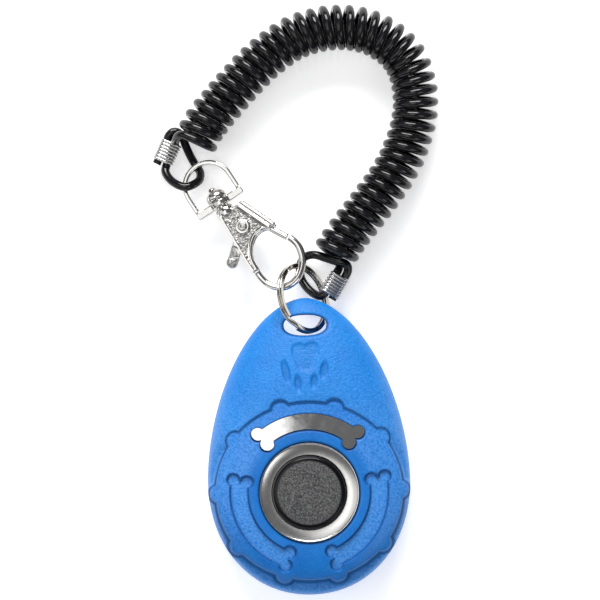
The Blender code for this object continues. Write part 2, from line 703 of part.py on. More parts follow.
def main():
    blue = material("blue_abs_textured", (0.022, 0.238, 0.708), 0.42)
    blue_rear = material("blue_abs_rear", (0.018, 0.2, 0.6), 0.5)
    chrome = material("bezel_chrome", (0.86, 0.87, 0.88), 0.12, 1.0)
    rubber = material("button_grey_tpe", (0.06, 0.062, 0.066), 0.75)
    spring_steel = material("spring_steel", (0.72, 0.73, 0.74), 0.18, 1.0)
    screw_steel = material("screw_zinc", (0.6, 0.6, 0.62), 0.35, 1.0)
    nickel = material("clip_nickel", (0.78, 0.77, 0.74), 0.22, 1.0)
    gate_nickel = material("gate_nickel", (0.7, 0.69, 0.67), 0.26, 1.0)
    rivet_nickel = material("rivet_nickel", (0.74, 0.72, 0.7), 0.3, 1.0)
    ring_steel = material("ring_nickel", (0.8, 0.79, 0.76), 0.2, 1.0)
    sleeve_tin = material("sleeve_tinned", (0.82, 0.82, 0.82), 0.25, 1.0)
    cord = material("cord_black_pu", (0.012, 0.012, 0.013), 0.3)

    finish_part(build_front_shell(), blue)
    finish_part(build_rear_shell(), blue_rear)
    finish_part(build_bezel(), chrome)
    finish_part(build_button(), rubber)
    finish_part(build_blade(), spring_steel)
    for index, side in enumerate((-1.0, 1.0), 1):
        screw = build_screw(f"blade_screw_{index}", side * BLADE_SCREW[0], BLADE_SCREW[1],
                            BLADE_Z + BLADE_THICK + 0.15, BLADE_Z + BLADE_THICK + 1.05, 4.0, 1.9, 0.85)
        finish_part(screw, screw_steel)
    for index, (x, y) in enumerate(CASE_SCREWS, 1):
        screw = build_screw(f"case_screw_{index}", x, y, 1.6, 3.0, 10.4, 1.75, 0.95)
        finish_part(screw, screw_steel)
    finish_part(build_split_ring(), ring_steel)
    finish_part(build_swivel_bow(), nickel)
    finish_part(build_swivel_rivet(), rivet_nickel)
    finish_part(build_clip_body(), nickel)
    finish_part(build_gate(), gate_nickel)
    finish_part(build_gate_rivet(), rivet_nickel)
    finish_part(build_gate_spring(), spring_steel)
    finish_part(build_coil(), cord)
    finish_part(tube("cord_loop_a", LOOP_A_ROUTE, CORD_RADIUS, 2), cord)
    finish_part(tube("cord_loop_b", LOOP_B_ROUTE, CORD_RADIUS, 2), cord)
    finish_part(build_sleeve("crimp_sleeve_a", SLEEVE_A), sleeve_tin)
    finish_part(build_sleeve("crimp_sleeve_b", SLEEVE_B), sleeve_tin)
    add_pivots()


main()
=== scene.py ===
"""Looks of the clicker trainer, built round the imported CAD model.

Sizes below are millimetres in the row's frame, and are turned into metres where a mesh is made.
"""
import math

import bmesh
import bpy
import numpy as np
from mathutils import Matrix, Vector, noise


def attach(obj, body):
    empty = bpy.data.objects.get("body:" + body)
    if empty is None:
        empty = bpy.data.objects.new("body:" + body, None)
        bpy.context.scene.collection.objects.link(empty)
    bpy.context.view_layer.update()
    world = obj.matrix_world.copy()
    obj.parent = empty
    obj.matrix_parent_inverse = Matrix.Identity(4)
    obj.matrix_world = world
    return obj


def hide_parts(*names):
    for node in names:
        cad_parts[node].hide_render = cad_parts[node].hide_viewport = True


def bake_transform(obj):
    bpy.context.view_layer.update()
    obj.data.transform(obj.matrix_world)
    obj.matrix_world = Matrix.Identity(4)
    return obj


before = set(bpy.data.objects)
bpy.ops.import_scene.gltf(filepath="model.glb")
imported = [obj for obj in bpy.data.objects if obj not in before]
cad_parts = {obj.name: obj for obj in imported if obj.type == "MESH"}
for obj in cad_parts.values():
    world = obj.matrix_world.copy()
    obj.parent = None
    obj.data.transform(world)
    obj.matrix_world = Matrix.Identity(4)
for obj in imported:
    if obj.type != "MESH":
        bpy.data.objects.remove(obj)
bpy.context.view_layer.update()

MM = 0.001
TAU = 2.0 * math.pi
SIDES = (-1.0, 1.0)
UP = Vector((0.0, 0.0, 1.0))

# ---- case, as in the CAD but for a slightly blunter heel ----
HALF_WIDTH, WIDEST_Y = 22.3, 2.4
NOSE_LENGTH, NOSE_POWER = 40.1, 1.8
HEEL_LENGTH, HEEL_POWER = 25.3, 2.1
WALL = 1.9
PART_Z, PART_GAP = 6.0, 0.15
FACE_Z = 15.0
NOSE_FACE_DROP, NOSE_BACK_RISE = 2.6, 3.0
FLAT_RADIUS, DOME_POWER, BACK_FLAT = 11.6, 2.3, 0.62
CAVITY_END_Y, CAVITY_TOP_Z, FLOOR_Z = 31.5, 12.0, 1.8
EYELET_Y, EYELET_FRONT, EYELET_REAR, EYELET_POWER = 36.5, (4.7, 2.25), (5.4, 2.6), 2.3
BEZEL_OUTER, BEZEL_INNER, BEZEL_SEAT_Z, SHELL_BORE = 10.9, 8.4, 12.6, 9.25
CASE_SCREWS = [(0.0, 28.5), (-14.0, -9.0), (14.0, -9.0)]
BEZEL_GAP, BEZEL_LIP_Z = 0.2, 15.37
BOSS_RADIUS, POST_RADIUS, WELL_RADIUS, SHANK_RADIUS = 2.4, 2.2, 2.0, 1.2
BLADE_Z, BLADE_THICK, BLADE_SCREW, BLADE_HOLE = 8.8, 0.35, (8.0, 22.5), 1.35
TONGUE_HALF, FOOT_HALF = 7.0, 13.4
BUTTON_RADIUS, BUTTON_TOP_Z, FLANGE_RADIUS, BUTTON_EDGE, STEM_RADIUS = 8.05, 17.3, 8.9, 0.85, 1.6
SCREW_RECESS = 0.95

# ---- relief on the face ----
BONE_RADIUS, BONE_HALF_ANGLE = 15.35, math.radians(40.5)
WINDOW_MIDDLE, RECESS_MIDDLES = 0.5 * math.pi, (math.radians(-30.0), math.radians(210.0))
BONE_SHAFT, BONE_LOBE, BONE_LOBE_OFFSET, BONE_DEPTH = 1.85, 1.55, 1.5, 0.85
RECESS_SHAFT = 2.15  # the side bones are stouter than the window
PANEL_SIDE, PANEL_TOP_CUT, PANEL_HEEL_CUT = 20.4, 0.9, 1.3  # panel radius, less at nose and heel
SHELF_Z, SHELF_EDGE = 10.3, 1.6  # level shelf between the panel and the rim
PANEL_REACH, PANEL_REACH_NOSE = 24.0, 5.0  # where the panel's own dome would end
KNOBS, KNOB_START, KNOB_RADIUS, KNOB_INSET = 10, 108.0, 1.85, 0.5
FACE_RINGS = [  # first radius, last radius, step
    (8.5, 13.1, 0.33), (13.1, 13.9, 0.13), (13.9, 16.8, 0.29),
    (16.8, 17.6, 0.13), (17.6, 18.4, 0.27), (18.4, 21.2, 0.14),
]
PAW_PAD = [(-1.45, 30.7, 1.65, 1.9, 20.0), (1.3, 30.9, 1.65, 1.9, -20.0), (-0.05, 28.6, 2.2, 2.1, 0.0)]
PAW_TOES = [  # centre, half width, half length, lean
    (-4.45, 26.5, 0.88, 2.6, 12.0), (-1.87, 23.8, 0.8, 1.9, 5.0),
    (1.67, 24.2, 0.8, 1.6, -8.0), (3.93, 26.7, 0.88, 1.95, -14.0),
]

# ---- split ring, clip and cord, as in the CAD but for a slimmer hook and the cord's ends ----
RING_CENTRE = Vector((-0.3, 42.4, 7.0))
RING_RADIUS, RING_HEADING, RING_TILT = 7.4, 107.0, 51.0
RING_WIRE, RING_PITCH, RING_START, RING_TURN = (1.1, 0.6), 0.72, 139.0, 692.0
CLIP_ORIGIN, CLIP_HEADING, CLIP_RISE = Vector((-22.9, 71.7, 3.9)), -58.1, 8.0
BOW_RADIUS, BOW_ARCH_X, BOW_BASE, BOW_BAND = 5.3, 4.8, (8.6, 10.2), (1.1, 1.8)
PIVOT, CHEEK_Z, SLOT_Z, HOOK_WIRE = (16.7, 1.3), 1.9, 0.95, 0.86
HUB_LOW = -0.75  # the gate's hub lies under the spring
CORD_RADIUS, COIL_RADIUS, COIL_Z, COIL_TURNS = 0.95, 5.15, 5.5, 43.58
COIL_EXTRA = (2.1, 2.4)  # how far the turns run on past the CAD's tube, at loops A and B
JOINS = ((3.2, 12), (6.5, 16))  # pull and steps of the bridges from loop A and to loop B
COIL_ROUTE = [
    (-22.4, 78.9), (-20.3, 82.2), (-16.3, 86.8), (-11.4, 92.0), (-6.1, 96.6), (-0.2, 100.2), (6.6, 101.9),
    (13.4, 101.5), (19.5, 98.8), (23.9, 94.1), (25.6, 87.7), (25.2, 81.1), (22.6, 73.6), (19.4, 68.1),
    (15.8, 63.4), (12.5, 59.4), (9.6, 55.9), (7.5, 52.8),
]
LOOP_A_ROUTE = [
    (6.1, 42.0, 4.0), (6.4, 42.5, 4.0), (7.75, 44.6, 4.0), (9.1, 46.8, 4.0), (9.8, 48.2, 4.2),
    (9.7, 49.4, 4.6), (8.7, 50.1, 4.8), (7.2, 50.4, 4.5), (5.0, 51.2, 3.8), (2.4, 52.0, 3.0),
    (0.3, 51.5, 2.1), (-0.7, 49.8, 1.4), (-0.6, 47.0, 1.4), (0.8, 44.6, 2.3), (2.8, 43.0, 3.5),
    (4.3, 43.1, 4.0), (5.95, 45.7, 4.0), (7.35, 47.95, 4.0), (7.9, 48.9, 3.2), (8.2, 49.9, 2.3),
]
LOOP_B_ROUTE = [
    (-31.9, 73.0, 3.0), (-31.6, 73.6, 3.0), (-30.45, 76.0, 3.0), (-29.45, 78.2, 3.0), (-28.95, 79.25, 3.2),
    (-28.1, 79.95, 3.2), (-27.0, 79.85, 3.0), (-26.05, 78.8, 2.6), (-25.4, 77.0, 2.2), (-24.5, 74.8, 1.8),
    (-23.4, 72.7, 1.5), (-22.3, 70.8, 2.4), (-22.6, 69.0, 4.4), (-24.6, 67.8, 6.3), (-26.4, 67.8, 6.3),
    (-28.6, 69.1, 4.9), (-29.9, 71.0, 3.5), (-29.7, 72.6, 3.0), (-28.55, 75.1, 3.0), (-27.75, 76.9, 3.1),
    (-27.6, 77.65, 3.8), (-27.5, 77.95, 5.0),
]
SLEEVES = {  # middle, heading, length
    "a": ((6.85, 45.15, 4.0), 58.0, 5.0),
    "b": ((-29.5, 75.57, 3.0), 64.6, 4.9),
}
SLEEVE_HALF, STRAND_OFFSET, STRAND_BORE, SLEEVE_RIDGES = (2.5, 1.45), 1.05, 1.12, 7

# ---- camera ----
VIEW_CENTRE = (-0.95, 42.07, 8.0)
VIEW_WIDTH, VIEW_TURN = 132.0, 1.5  # the object lies turned by this many degrees
LENS, SENSOR = 240.0, 36.0

# ---- studio ----
AIM = (0.0, 40.0, 5.0)
LIGHTS = [  # name, place, what it faces, width and height in metres, watts
    ("key_top", (-40.0, 760.0, 470.0), AIM, (0.6, 0.35), 9.0),
    ("overhead_left", (-258.0, 210.0, 1200.0), (-258.0, 210.0, 0.0), (0.5, 0.9), 1.8),
    ("strip_left", (-500.0, 40.0, 560.0), AIM, (0.4, 1.0), 1.05),
    ("low_right", (420.0, -370.0, 600.0), AIM, (0.35, 0.35), 0.9),
    ("low_front", (-180.0, -560.0, 320.0), AIM, (0.8, 0.2), 0.8),
]
FLOOR_GLOW, WORLD_STRENGTH = 0.5, 0.17


# ---- small tools ----

def ease(low, high, value):
    t = np.clip((value - low) / (high - low), 0.0, 1.0)
    return t * t * (3.0 - 2.0 * t)


def link(name, mesh):
    ob = bpy.data.objects.new(name, mesh)
    bpy.context.scene.collection.objects.link(ob)
    return ob


def make_mesh(name, verts, faces, smooth_angle=40.0):
    """An object from points in millimetres, with outward faces and its creases sharp."""
    mesh = bpy.data.meshes.new(name)
    mesh.from_pydata((np.asarray(verts, float) * MM).tolist(), [], faces)
    bm = bmesh.new()
    bm.from_mesh(mesh)
    bmesh.ops.recalc_face_normals(bm, faces=bm.faces)
    bm.to_mesh(mesh)
    bm.free()
    smooth(mesh, smooth_angle)
    return link(name, mesh)


def smooth(mesh, angle):
    mesh.shade_smooth()
    mesh.set_sharp_from_angle(angle=math.radians(angle))


def evaluated(ob):
    """The object with its modifiers applied, under the same name."""
    bpy.context.view_layer.update()
    mesh = bpy.data.meshes.new_from_object(ob.evaluated_get(bpy.context.evaluated_depsgraph_get()))
    name = ob.name
    bpy.data.objects.remove(ob, do_unlink=True)
    mesh.name = name
    return link(name, mesh)


def cut(ob, cutters, operation="DIFFERENCE", angle=35.0, solver="MANIFOLD"):
    """Cut closed solids out of a closed solid, or join them to it, and drop the cutters."""
    for cutter in cutters:
        mod = ob.modifiers.new("cut", "BOOLEAN")
        mod.operation = operation
        mod.solver = solver
        mod.object = cutter
    ob = evaluated(ob)
    for cutter in cutters:
        bpy.data.objects.remove(cutter, do_unlink=True)
    smooth(ob.data, angle)
    return ob


def fuse(name, pieces, voxel, rounds, angle=60.0):
    """One cast body out of overlapping solids, with every corner softly rounded."""
    bm = bmesh.new()
    for piece in pieces:
        bm.from_mesh(piece.data)
        bpy.data.objects.remove(piece, do_unlink=True)
    mesh = bpy.data.meshes.new(name)
    bm.to_mesh(mesh)
    bm.free()
    ob = link(name, mesh)
    remesh = ob.modifiers.new("remesh", "REMESH")
    remesh.mode = "VOXEL"
    remesh.voxel_size = voxel * MM
    soften = ob.modifiers.new("soften", "SMOOTH")
    soften.factor = 0.5
    soften.iterations = rounds
    ob = evaluated(ob)
    smooth(ob.data, angle)
    return ob


def rounded(points, radius, steps=4):
    """A closed outline with its corners turned into arcs."""
    out = []
    count = len(points)
    for i, corner in enumerate(points):
        here = Vector(corner)
        back = Vector(points[i - 1]) - here
        ahead = Vector(points[(i + 1) % count]) - here
        reach = min(radius, 0.45 * back.length, 0.45 * ahead.length)
        start, end = here + back.normalized() * reach, here + ahead.normalized() * reach
        for k in range(steps + 1):
            t = k / steps
            out.append(tuple(start * (1 - t) ** 2 + here * (2 * t * (1 - t)) + end * t * t))
    return out


def band(first, second, count):
    """Faces between two rings of points, given each ring's first index."""
    return [(first + i, first + (i + 1) % count, second + (i + 1) % count, second + i) for i in range(count)]


def prism(name, outline, low, high, matrix=None):
    count = len(outline)
    verts = [(x, y, z) for z in (low, high) for x, y in outline]
    faces = [tuple(range(count)), tuple(range(count, 2 * count))] + band(0, count, count)
    return place(make_mesh(name, verts, faces), matrix)


def polar(radius, angle, x=0.0, y=0.0):
    return x + radius * math.cos(angle), y + radius * math.sin(angle)


def circle(radius, x=0.0, y=0.0, sides=48):
    return [polar(radius, TAU * i / sides, x, y) for i in range(sides)]


def frame_of(across, high, along, origin):
    """A placement from its three axes and its origin."""
    matrix = Matrix((across, high, along)).transposed().to_4x4()
    matrix.translation = origin
    return matrix


def place(ob, matrix):
    """Bake a placement given in millimetres into a mesh."""
    if matrix is not None:
        scaled = matrix.copy()
        scaled.translation = matrix.translation * MM
        ob.data.transform(scaled)
    return ob


def lathe(name, profile, steps=128, matrix=None, angle=40.0):
    """Turn a section of (radius, height) about Z. One with both ends on the axis is closed there."""
    solid = profile[0][0] == 0.0 and profile[-1][0] == 0.0
    rings = profile[1:-1] if solid else profile
    verts, faces = [], []
    for r, z in rings:
        verts += [(x, y, z) for x, y in circle(r, sides=steps)]
    rows = len(rings)
    for k in range(rows if not solid else rows - 1):
        faces += band(k * steps, ((k + 1) % rows) * steps, steps)
    if solid:
        for row, (_, z) in ((0, profile[0]), (rows - 1, profile[-1])):
            verts.append((0.0, 0.0, z))
            faces += [(row * steps + i, row * steps + (i + 1) % steps, len(verts) - 1) for i in range(steps)]
    return place(make_mesh(name, verts, faces, angle), matrix)


def spline(points, per_span):
    """Points on a smooth curve through the given ones."""
    pts = [Vector(p) for p in points]
    pts = [2 * pts[0] - pts[1]] + pts + [2 * pts[-1] - pts[-2]]
    out = []
    for a, b, c, d in zip(pts, pts[1:], pts[2:], pts[3:]):
        for k in range(per_span):
            t = k / per_span
            out.append(0.5 * (2 * b + (c - a) * t + (2 * a - 5 * b + 4 * c - d) * t * t
                              + (3 * b - a - 3 * c + d) * t ** 3))
    out.append(pts[-2])
    return out


def sweep(name, path, section, up, scales=None, matrix=None, angle=40.0):
    """Carry a closed (across, up) section along a path whose own upward direction is up, with flat ends."""
    path = [Vector(p) for p in path]
    up = Vector(up)
    count, size = len(path), len(section)
    verts, faces = [], []
    for i, point in enumerate(path):
        along = (path[min(i + 1, count - 1)] - path[max(i - 1, 0)]).normalized()
        across = along.cross(up).normalized()
        high = across.cross(along)
        grow = scales[i] if scales else 1.0
        verts += [tuple(point + across * (u * grow) + high * (v * grow)) for u, v in section]
    for i in range(count - 1):
        faces += band(i * size, (i + 1) * size, size)
    faces += [tuple(range(size)), tuple(range((count - 1) * size, count * size))]
    return place(make_mesh(name, verts, faces, angle), matrix)


def wire(name, path, radius, matrix=None, sides=20):
    return sweep(name, path, circle(radius, sides=sides), UP, matrix=matrix, angle=60.0)


def rectangle(left, right, low, high):
    return [(left, low), (right, low), (right, high), (left, high)]


def box_section(width, thickness, radius):
    return rounded(rectangle(-0.5 * width, 0.5 * width, -0.5 * thickness, 0.5 * thickness), radius, 4)


def finish(ob, mat, slot, body, *nodes):
    """Give a piece its material, the body it rides on and the CAD nodes it stands for. Its slot is not used.
    """
    ob.data.materials.clear()
    ob.data.materials.append(mat)
    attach(ob, body)
    if nodes:
        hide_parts(*nodes)
    return ob


# ---- materials ----

class Surface:
    """A Principled material with a few shorthands for its node tree. Textures work in millimetres."""

    def __init__(self, name, colour, roughness, metallic=0.0, **sockets):
        self.material = bpy.data.materials.new(name)
        self.material.use_nodes = True
        self.tree = self.material.node_tree
        self.shader = self.tree.nodes["Principled BSDF"]
        self.put("Base Color", (*colour, 1.0))
        self.put("Roughness", roughness)
        self.put("Metallic", metallic)
        for key, value in sockets.items():
            self.put(key.replace("_", " "), value)
        coords = self.node("ShaderNodeTexCoord")
        scale = self.node("ShaderNodeVectorMath")
        scale.operation = "SCALE"
        scale.inputs["Scale"].default_value = 1.0 / MM
        self.join(coords.outputs["Object"], scale.inputs[0])
        self.coords = scale.outputs[0]

    def put(self, key, value):
        self.shader.inputs[key].default_value = value

    def node(self, kind):
        return self.tree.nodes.new(kind)

    def join(self, source, target):
        self.tree.links.new(source, target)

    def feed(self, value, target):
        """Give an input a number, a colour or another node's output."""
        if isinstance(value, bpy.types.NodeSocket):
            self.join(value, target)
        else:
            target.default_value = (*value, 1.0) if isinstance(value, tuple) else value

    def noise(self, size, detail=3.0, roughness=0.55, stretch=None):
        """Noise whose features are about size millimetres across."""
        tex = self.node("ShaderNodeTexNoise")
        tex.inputs["Scale"].default_value = 1.0 / size
        tex.inputs["Detail"].default_value = detail
        tex.inputs["Roughness"].default_value = roughness
        source = self.coords
        if stretch:
            mapping = self.node("ShaderNodeMapping")
            mapping.inputs["Scale"].default_value = stretch
            self.join(self.coords, mapping.inputs["Vector"])
            source = mapping.outputs[0]
        self.join(source, tex.inputs["Vector"])
        return tex.outputs["Fac"]

    def spread(self, source, low, high, start=0.3, end=0.7):
        """Map a value from start..end on to low..high."""
        node = self.node("ShaderNodeMapRange")
        for key, value in zip(("From Min", "From Max", "To Min", "To Max"), (start, end, low, high)):
            node.inputs[key].default_value = value
        self.join(source, node.inputs["Value"])
        return node.outputs[0]

    def math(self, operation, a, b):
        node = self.node("ShaderNodeMath")
        node.operation = operation
        self.feed(a, node.inputs[0])
        self.feed(b, node.inputs[1])
        return node.outputs[0]

    def mix(self, factor, first, second):
        """A colour between two, each given as a colour or as a socket."""
        node = self.node("ShaderNodeMix")
        node.data_type = "RGBA"
        self.join(factor, node.inputs["Factor"])
        self.feed(first, node.inputs[6])
        self.feed(second, node.inputs[7])
        return node.outputs[2]

    def attribute(self, name):
        node = self.node("ShaderNodeAttribute")
        node.attribute_name = name
        return node.outputs["Fac"]

    def bump(self, height, distance, strength=1.0):
        """Add relief of distance millimetres on top of any relief already there."""
        node = self.node("ShaderNodeBump")
        node.inputs["Distance"].default_value = distance * MM
        self.feed(strength, node.inputs["Strength"])
        self.join(height, node.inputs["Height"])
        old = self.shader.inputs["Normal"]
        if old.is_linked:
            self.join(old.links[0].from_socket, node.inputs["Normal"])
        self.join(node.outputs[0], old)

    def colour(self, source):
        self.join(source, self.shader.inputs["Base Color"])

    def rough(self, source):
        self.join(source, self.shader.inputs["Roughness"])


def blue_plastic(name, light, deep, grain_strength):
    """Moulded ABS. Its attributes say where it has a spark-eroded grain, where pale glints are painted on as
    highlights, and where shade is painted dark into its creases.
    """
    s = Surface(name, light, 0.4, Specular_IOR_Level=0.3)
    mask, crease_shade = s.attribute("grain"), s.attribute("crease_shade")
    cells = s.noise(0.5, 2.0, 0.65)
    patches = s.math("MULTIPLY", s.noise(5.0, 2.0), 0.4)
    depth = s.math("ADD", s.math("MULTIPLY", cells, s.math("MULTIPLY", mask, 0.6)), patches)
    skin = s.mix(s.spread(depth, 0.0, 1.0, 0.2, 0.75), deep, light)
    # painted highlight: pale speckles of a lighter blue wherever the glint attribute is set
    glint_paint = s.math("MULTIPLY", s.attribute("glint_paint"), s.spread(cells, 0.2, 0.85, 0.36, 0.62))
    glinted_skin = s.mix(glint_paint, skin, (0.1, 0.33, 0.82))
    # painted shade: creases, walls and gaps are coloured towards 0.36 of the deep blue, and made rougher
    s.colour(s.mix(crease_shade, glinted_skin, tuple(0.36 * c for c in deep)))
    dull = s.math("ADD", s.math("MULTIPLY", mask, 0.14), s.spread(crease_shade, 0.22, 0.8, 0.1, 0.8))
    s.rough(s.math("ADD", s.spread(cells, 0.02, 0.12), dull))
    s.bump(cells, 0.13, s.math("ADD", s.math("MULTIPLY", mask, grain_strength), 0.05))
    s.bump(s.noise(2.2, 1.0), 0.05, 0.15)
    return s.material


def polished_metal(name, tint, roughness, waviness, wave_size=3.0, hairlines=0.4, wear=0.6):
    """Plated metal: nearly a mirror, with slight waviness and hairline wear."""
    s = Surface(name, tint, roughness, 1.0)
    s.rough(s.spread(s.noise(1.2, 4.0), roughness * (1.0 - 0.7 * wear), roughness * (1.0 + wear)))
    s.bump(s.noise(wave_size, 2.0), waviness, 0.5)
    s.bump(s.noise(0.5, 2.0, stretch=(1.0, 0.12, 1.0)), 0.004, hairlines)
    return s.material


def cast_metal(name, tint, dull):
    """Plated zinc casting: bright where it was tumbled, dark and grainy where attribute grain is 1."""
    s = Surface(name, tint, 0.12, 1.0)
    mask = s.attribute("grain")
    pits = s.noise(0.45, 3.0, 0.7)
    s.colour(s.mix(mask, tint, s.mix(s.spread(pits, 0.0, 1.0, 0.35, 0.65), dull, tint)))
    s.rough(s.math("ADD", s.spread(s.noise(1.4, 3.0), 0.06, 0.16), s.math("MULTIPLY", mask, 0.22)))
    s.bump(pits, 0.16, s.math("MULTIPLY", mask, 0.9))
    s.bump(s.noise(1.6, 2.0), 0.02, 0.3)
    return s.material


def button_rubber():
    """Soft-touch grey top with light speckles, and a glossy rounded edge painted near black: partly its own
    dark colour, partly painted shade.
    """
    s = Surface("button_grey_speckled", (0.05, 0.05, 0.052), 0.6, Specular_IOR_Level=0.22)
    flat = s.node("ShaderNodeVectorMath")
    flat.operation = "MULTIPLY"
    flat.inputs[1].default_value = (1.0, 1.0, 0.0)
    s.join(s.coords, flat.inputs[0])
    radius = s.node("ShaderNodeVectorMath")
    radius.operation = "LENGTH"
    s.join(flat.outputs[0], radius.inputs[0])
    # painted shade: beyond 6.75 mm the edge is coloured near black, and made glossier
    edge = s.spread(radius.outputs["Value"], 0.0, 1.0, 6.75, 7.1)
    speckle = s.noise(0.3, 3.0, 0.7)
    top = s.mix(s.spread(speckle, 0.0, 1.0, 0.4, 0.68), (0.025, 0.026, 0.028), (0.2, 0.2, 0.2))
    s.colour(s.mix(edge, top, (0.003, 0.003, 0.004)))
    s.rough(s.spread(edge, 0.62, 0.22, 0.0, 1.0))
    s.bump(speckle, 0.06, s.spread(edge, 0.7, 0.03, 0.0, 1.0))
    return s.material


def cord_plastic():
    s = Surface("cord_black_gloss", (0.008, 0.008, 0.009), 0.2)
    s.put("IOR", 1.43)
    s.rough(s.spread(s.noise(1.5, 3.0), 0.08, 0.2))
    s.colour(s.mix(s.noise(3.0, 2.0), (0.003, 0.003, 0.004), (0.008, 0.008, 0.009)))
    s.bump(s.noise(0.9, 2.0), 0.03, 0.35)
    return s.material


# ---- case outline and heights ----

def inside_egg(x, y):
    nose = y > WIDEST_Y
    reach = np.where(nose, NOSE_LENGTH, HEEL_LENGTH)
    power = np.where(nose, NOSE_POWER, HEEL_POWER)
    return np.abs(x / HALF_WIDTH) ** power + np.abs((y - WIDEST_Y) / reach) ** power < 1.0


def egg_radius(angles):
    low = np.full(angles.shape, 5.0)
    high = np.full(angles.shape, 60.0)
    for _ in range(40):
        middle = 0.5 * (low + high)
        inside = inside_egg(middle * np.cos(angles), middle * np.sin(angles))
        low, high = np.where(inside, middle, low), np.where(inside, high, middle)
    return low


def cavity_radius(angles):
    reach = egg_radius(angles) - WALL
    sine = np.sin(angles)
    return np.where(sine > 0.1, np.minimum(reach, CAVITY_END_Y / np.maximum(sine, 0.1)), reach)


def dome(share, power):
    return np.maximum(0.0, 1.0 - np.clip(share, 0.0, 1.0) ** power) ** (1.0 / power)


def face_height(x, y, reach, top):
    share = np.maximum(0.0, (np.hypot(x, y) - FLAT_RADIUS) / (reach - FLAT_RADIUS))
    rise = top - PART_Z - NOSE_FACE_DROP * ease(20.0, 42.0, y)
    return PART_Z + rise * dome(share, DOME_POWER)


def back_height(x, y, reach, bottom):
    share = np.maximum(0.0, (np.hypot(x, y) / reach - BACK_FLAT) / (1.0 - BACK_FLAT))
    fall = PART_Z - bottom - NOSE_BACK_RISE * ease(27.0, 36.0, y)
    return PART_Z - fall * dome(share, 2.0)


def lip(distance, radius):
    """How far a rounded edge has dropped at a distance inside it."""
    near = np.clip(radius - distance, 0.0, radius)
    return radius - np.sqrt(np.maximum(0.0, radius ** 2 - near ** 2))


def lobe_centres(middle):
    """The middles of a bone's four round ends."""
    angles = [middle + side * BONE_HALF_ANGLE for side in SIDES]
    radii = [BONE_RADIUS + side * BONE_LOBE_OFFSET for side in SIDES]
    return [polar(radius, angle) for angle in angles for radius in radii]


def bone_distance(x, y, middle, shaft):
    """Distance to a curved dog bone's outline, negative inside it."""
    radius = np.hypot(x, y)
    turn = (np.arctan2(y, x) - middle + math.pi) % TAU - math.pi
    past = np.maximum(0.0, np.abs(turn) - BONE_HALF_ANGLE) * radius
    best = np.hypot(radius - BONE_RADIUS, past) - shaft
    best = np.where(past > 0.0, np.maximum(best, past), best)
    for cx, cy in lobe_centres(middle):
        best = np.minimum(best, np.hypot(x - cx, y - cy) - BONE_LOBE)
    return best


def window_distance(x, y):
    return bone_distance(x, y, WINDOW_MIDDLE, BONE_SHAFT)


def recess_distance(x, y):
    return np.minimum(*(bone_distance(x, y, middle, RECESS_SHAFT) for middle in RECESS_MIDDLES))


def panel_edge(sine):
    """The panel's radius, cut back a little towards the nose and the heel."""
    return PANEL_SIDE - np.where(sine > 0.0, PANEL_TOP_CUT, PANEL_HEEL_CUT) * sine ** 2


def panel_distance(x, y):
    """Distance to the scalloped panel's outline, negative inside it."""
    best = np.hypot(x, y) - panel_edge(np.sin(np.arctan2(y, x)))
    for k in range(KNOBS):
        turn = math.radians(KNOB_START + 360.0 * k / KNOBS)
        cx, cy = polar(panel_edge(math.sin(turn)) - KNOB_INSET, turn)
        best = np.minimum(best, np.hypot(x - cx, y - cy) - KNOB_RADIUS)
    return best


def panel_height(x, y):
    radius = np.hypot(x, y)
    sine = np.maximum(0.0, y / np.maximum(radius, 0.1))
    reach = PANEL_REACH + PANEL_REACH_NOSE * sine ** 3
    share = np.maximum(0.0, (radius - FLAT_RADIUS) / (reach - FLAT_RADIUS))
    return PART_Z + (FACE_Z - PART_Z) * dome(share, DOME_POWER)


def oval_distance(x, y, cx, cy, half_x, half_y, lean):
    """Rough distance to a leaning oval."""
    c, s = math.cos(math.radians(lean)), math.sin(math.radians(lean))
    u, v = (x - cx) * c + (y - cy) * s, -(x - cx) * s + (y - cy) * c
    return (np.hypot(u / half_x, v / half_y) - 1.0) * min(half_x, half_y)


def paw_distance(x, y):
    """Distances to a generic paw print's pad, which lies towards the nose, and to its toes."""
    pad = -np.log(sum(np.exp(-2.5 * oval_distance(x, y, *lobe)) for lobe in PAW_PAD)) / 2.5
    return pad, np.minimum.reduce([oval_distance(x, y, *toe) for toe in PAW_TOES])


def eyelet_distance(x, y, half):
    u, v = np.abs(x / half[0]) ** EYELET_POWER, np.abs((y - EYELET_Y) / half[1]) ** EYELET_POWER
    return ((u + v) ** (1.0 / EYELET_POWER) - 1.0) * half[1]


def front_relief(x, y, reach):
    """The face with its scalloped panel, bones, paw print and rounded edges."""
    z = face_height(x, y, reach, FACE_Z)
    inward = (reach - np.hypot(x, y)) / SHELF_EDGE
    shelf = PART_Z + (SHELF_Z - PART_Z) * dome(1.0 - inward, 2.2)
    z += (np.minimum(z, shelf) - z) * ease(13.0, 4.0, y)
    panel = panel_distance(x, y)
    step = panel_height(x, y) - z
    z = np.where(panel < 2.0, z + step * (1.0 - ease(-0.15, 0.2 + 0.6 * np.clip(step, 0.0, 1.5), panel)), z)
    z -= 0.3 * np.exp(-((panel - 0.3) / 0.25) ** 2)
    z -= BONE_DEPTH * (1.0 - ease(-0.3, 0.12, recess_distance(x, y)))
    pad, toes = paw_distance(x, y)
    z -= 0.3 * (1.0 - ease(-0.3, 0.2, pad)) + 0.45 * (1.0 - ease(-0.35, 0.15, toes))
    window = window_distance(x, y)
    z -= lip(np.maximum(0.0, window), 0.35) * (window < 1.0)
    z -= lip(np.maximum(0.0, np.hypot(x, y) - BEZEL_OUTER - BEZEL_GAP), 0.3)
    eyelet = eyelet_distance(x, y, EYELET_FRONT)
    z -= lip(np.maximum(0.0, eyelet), 0.7) * (eyelet < 2.0)
    return z


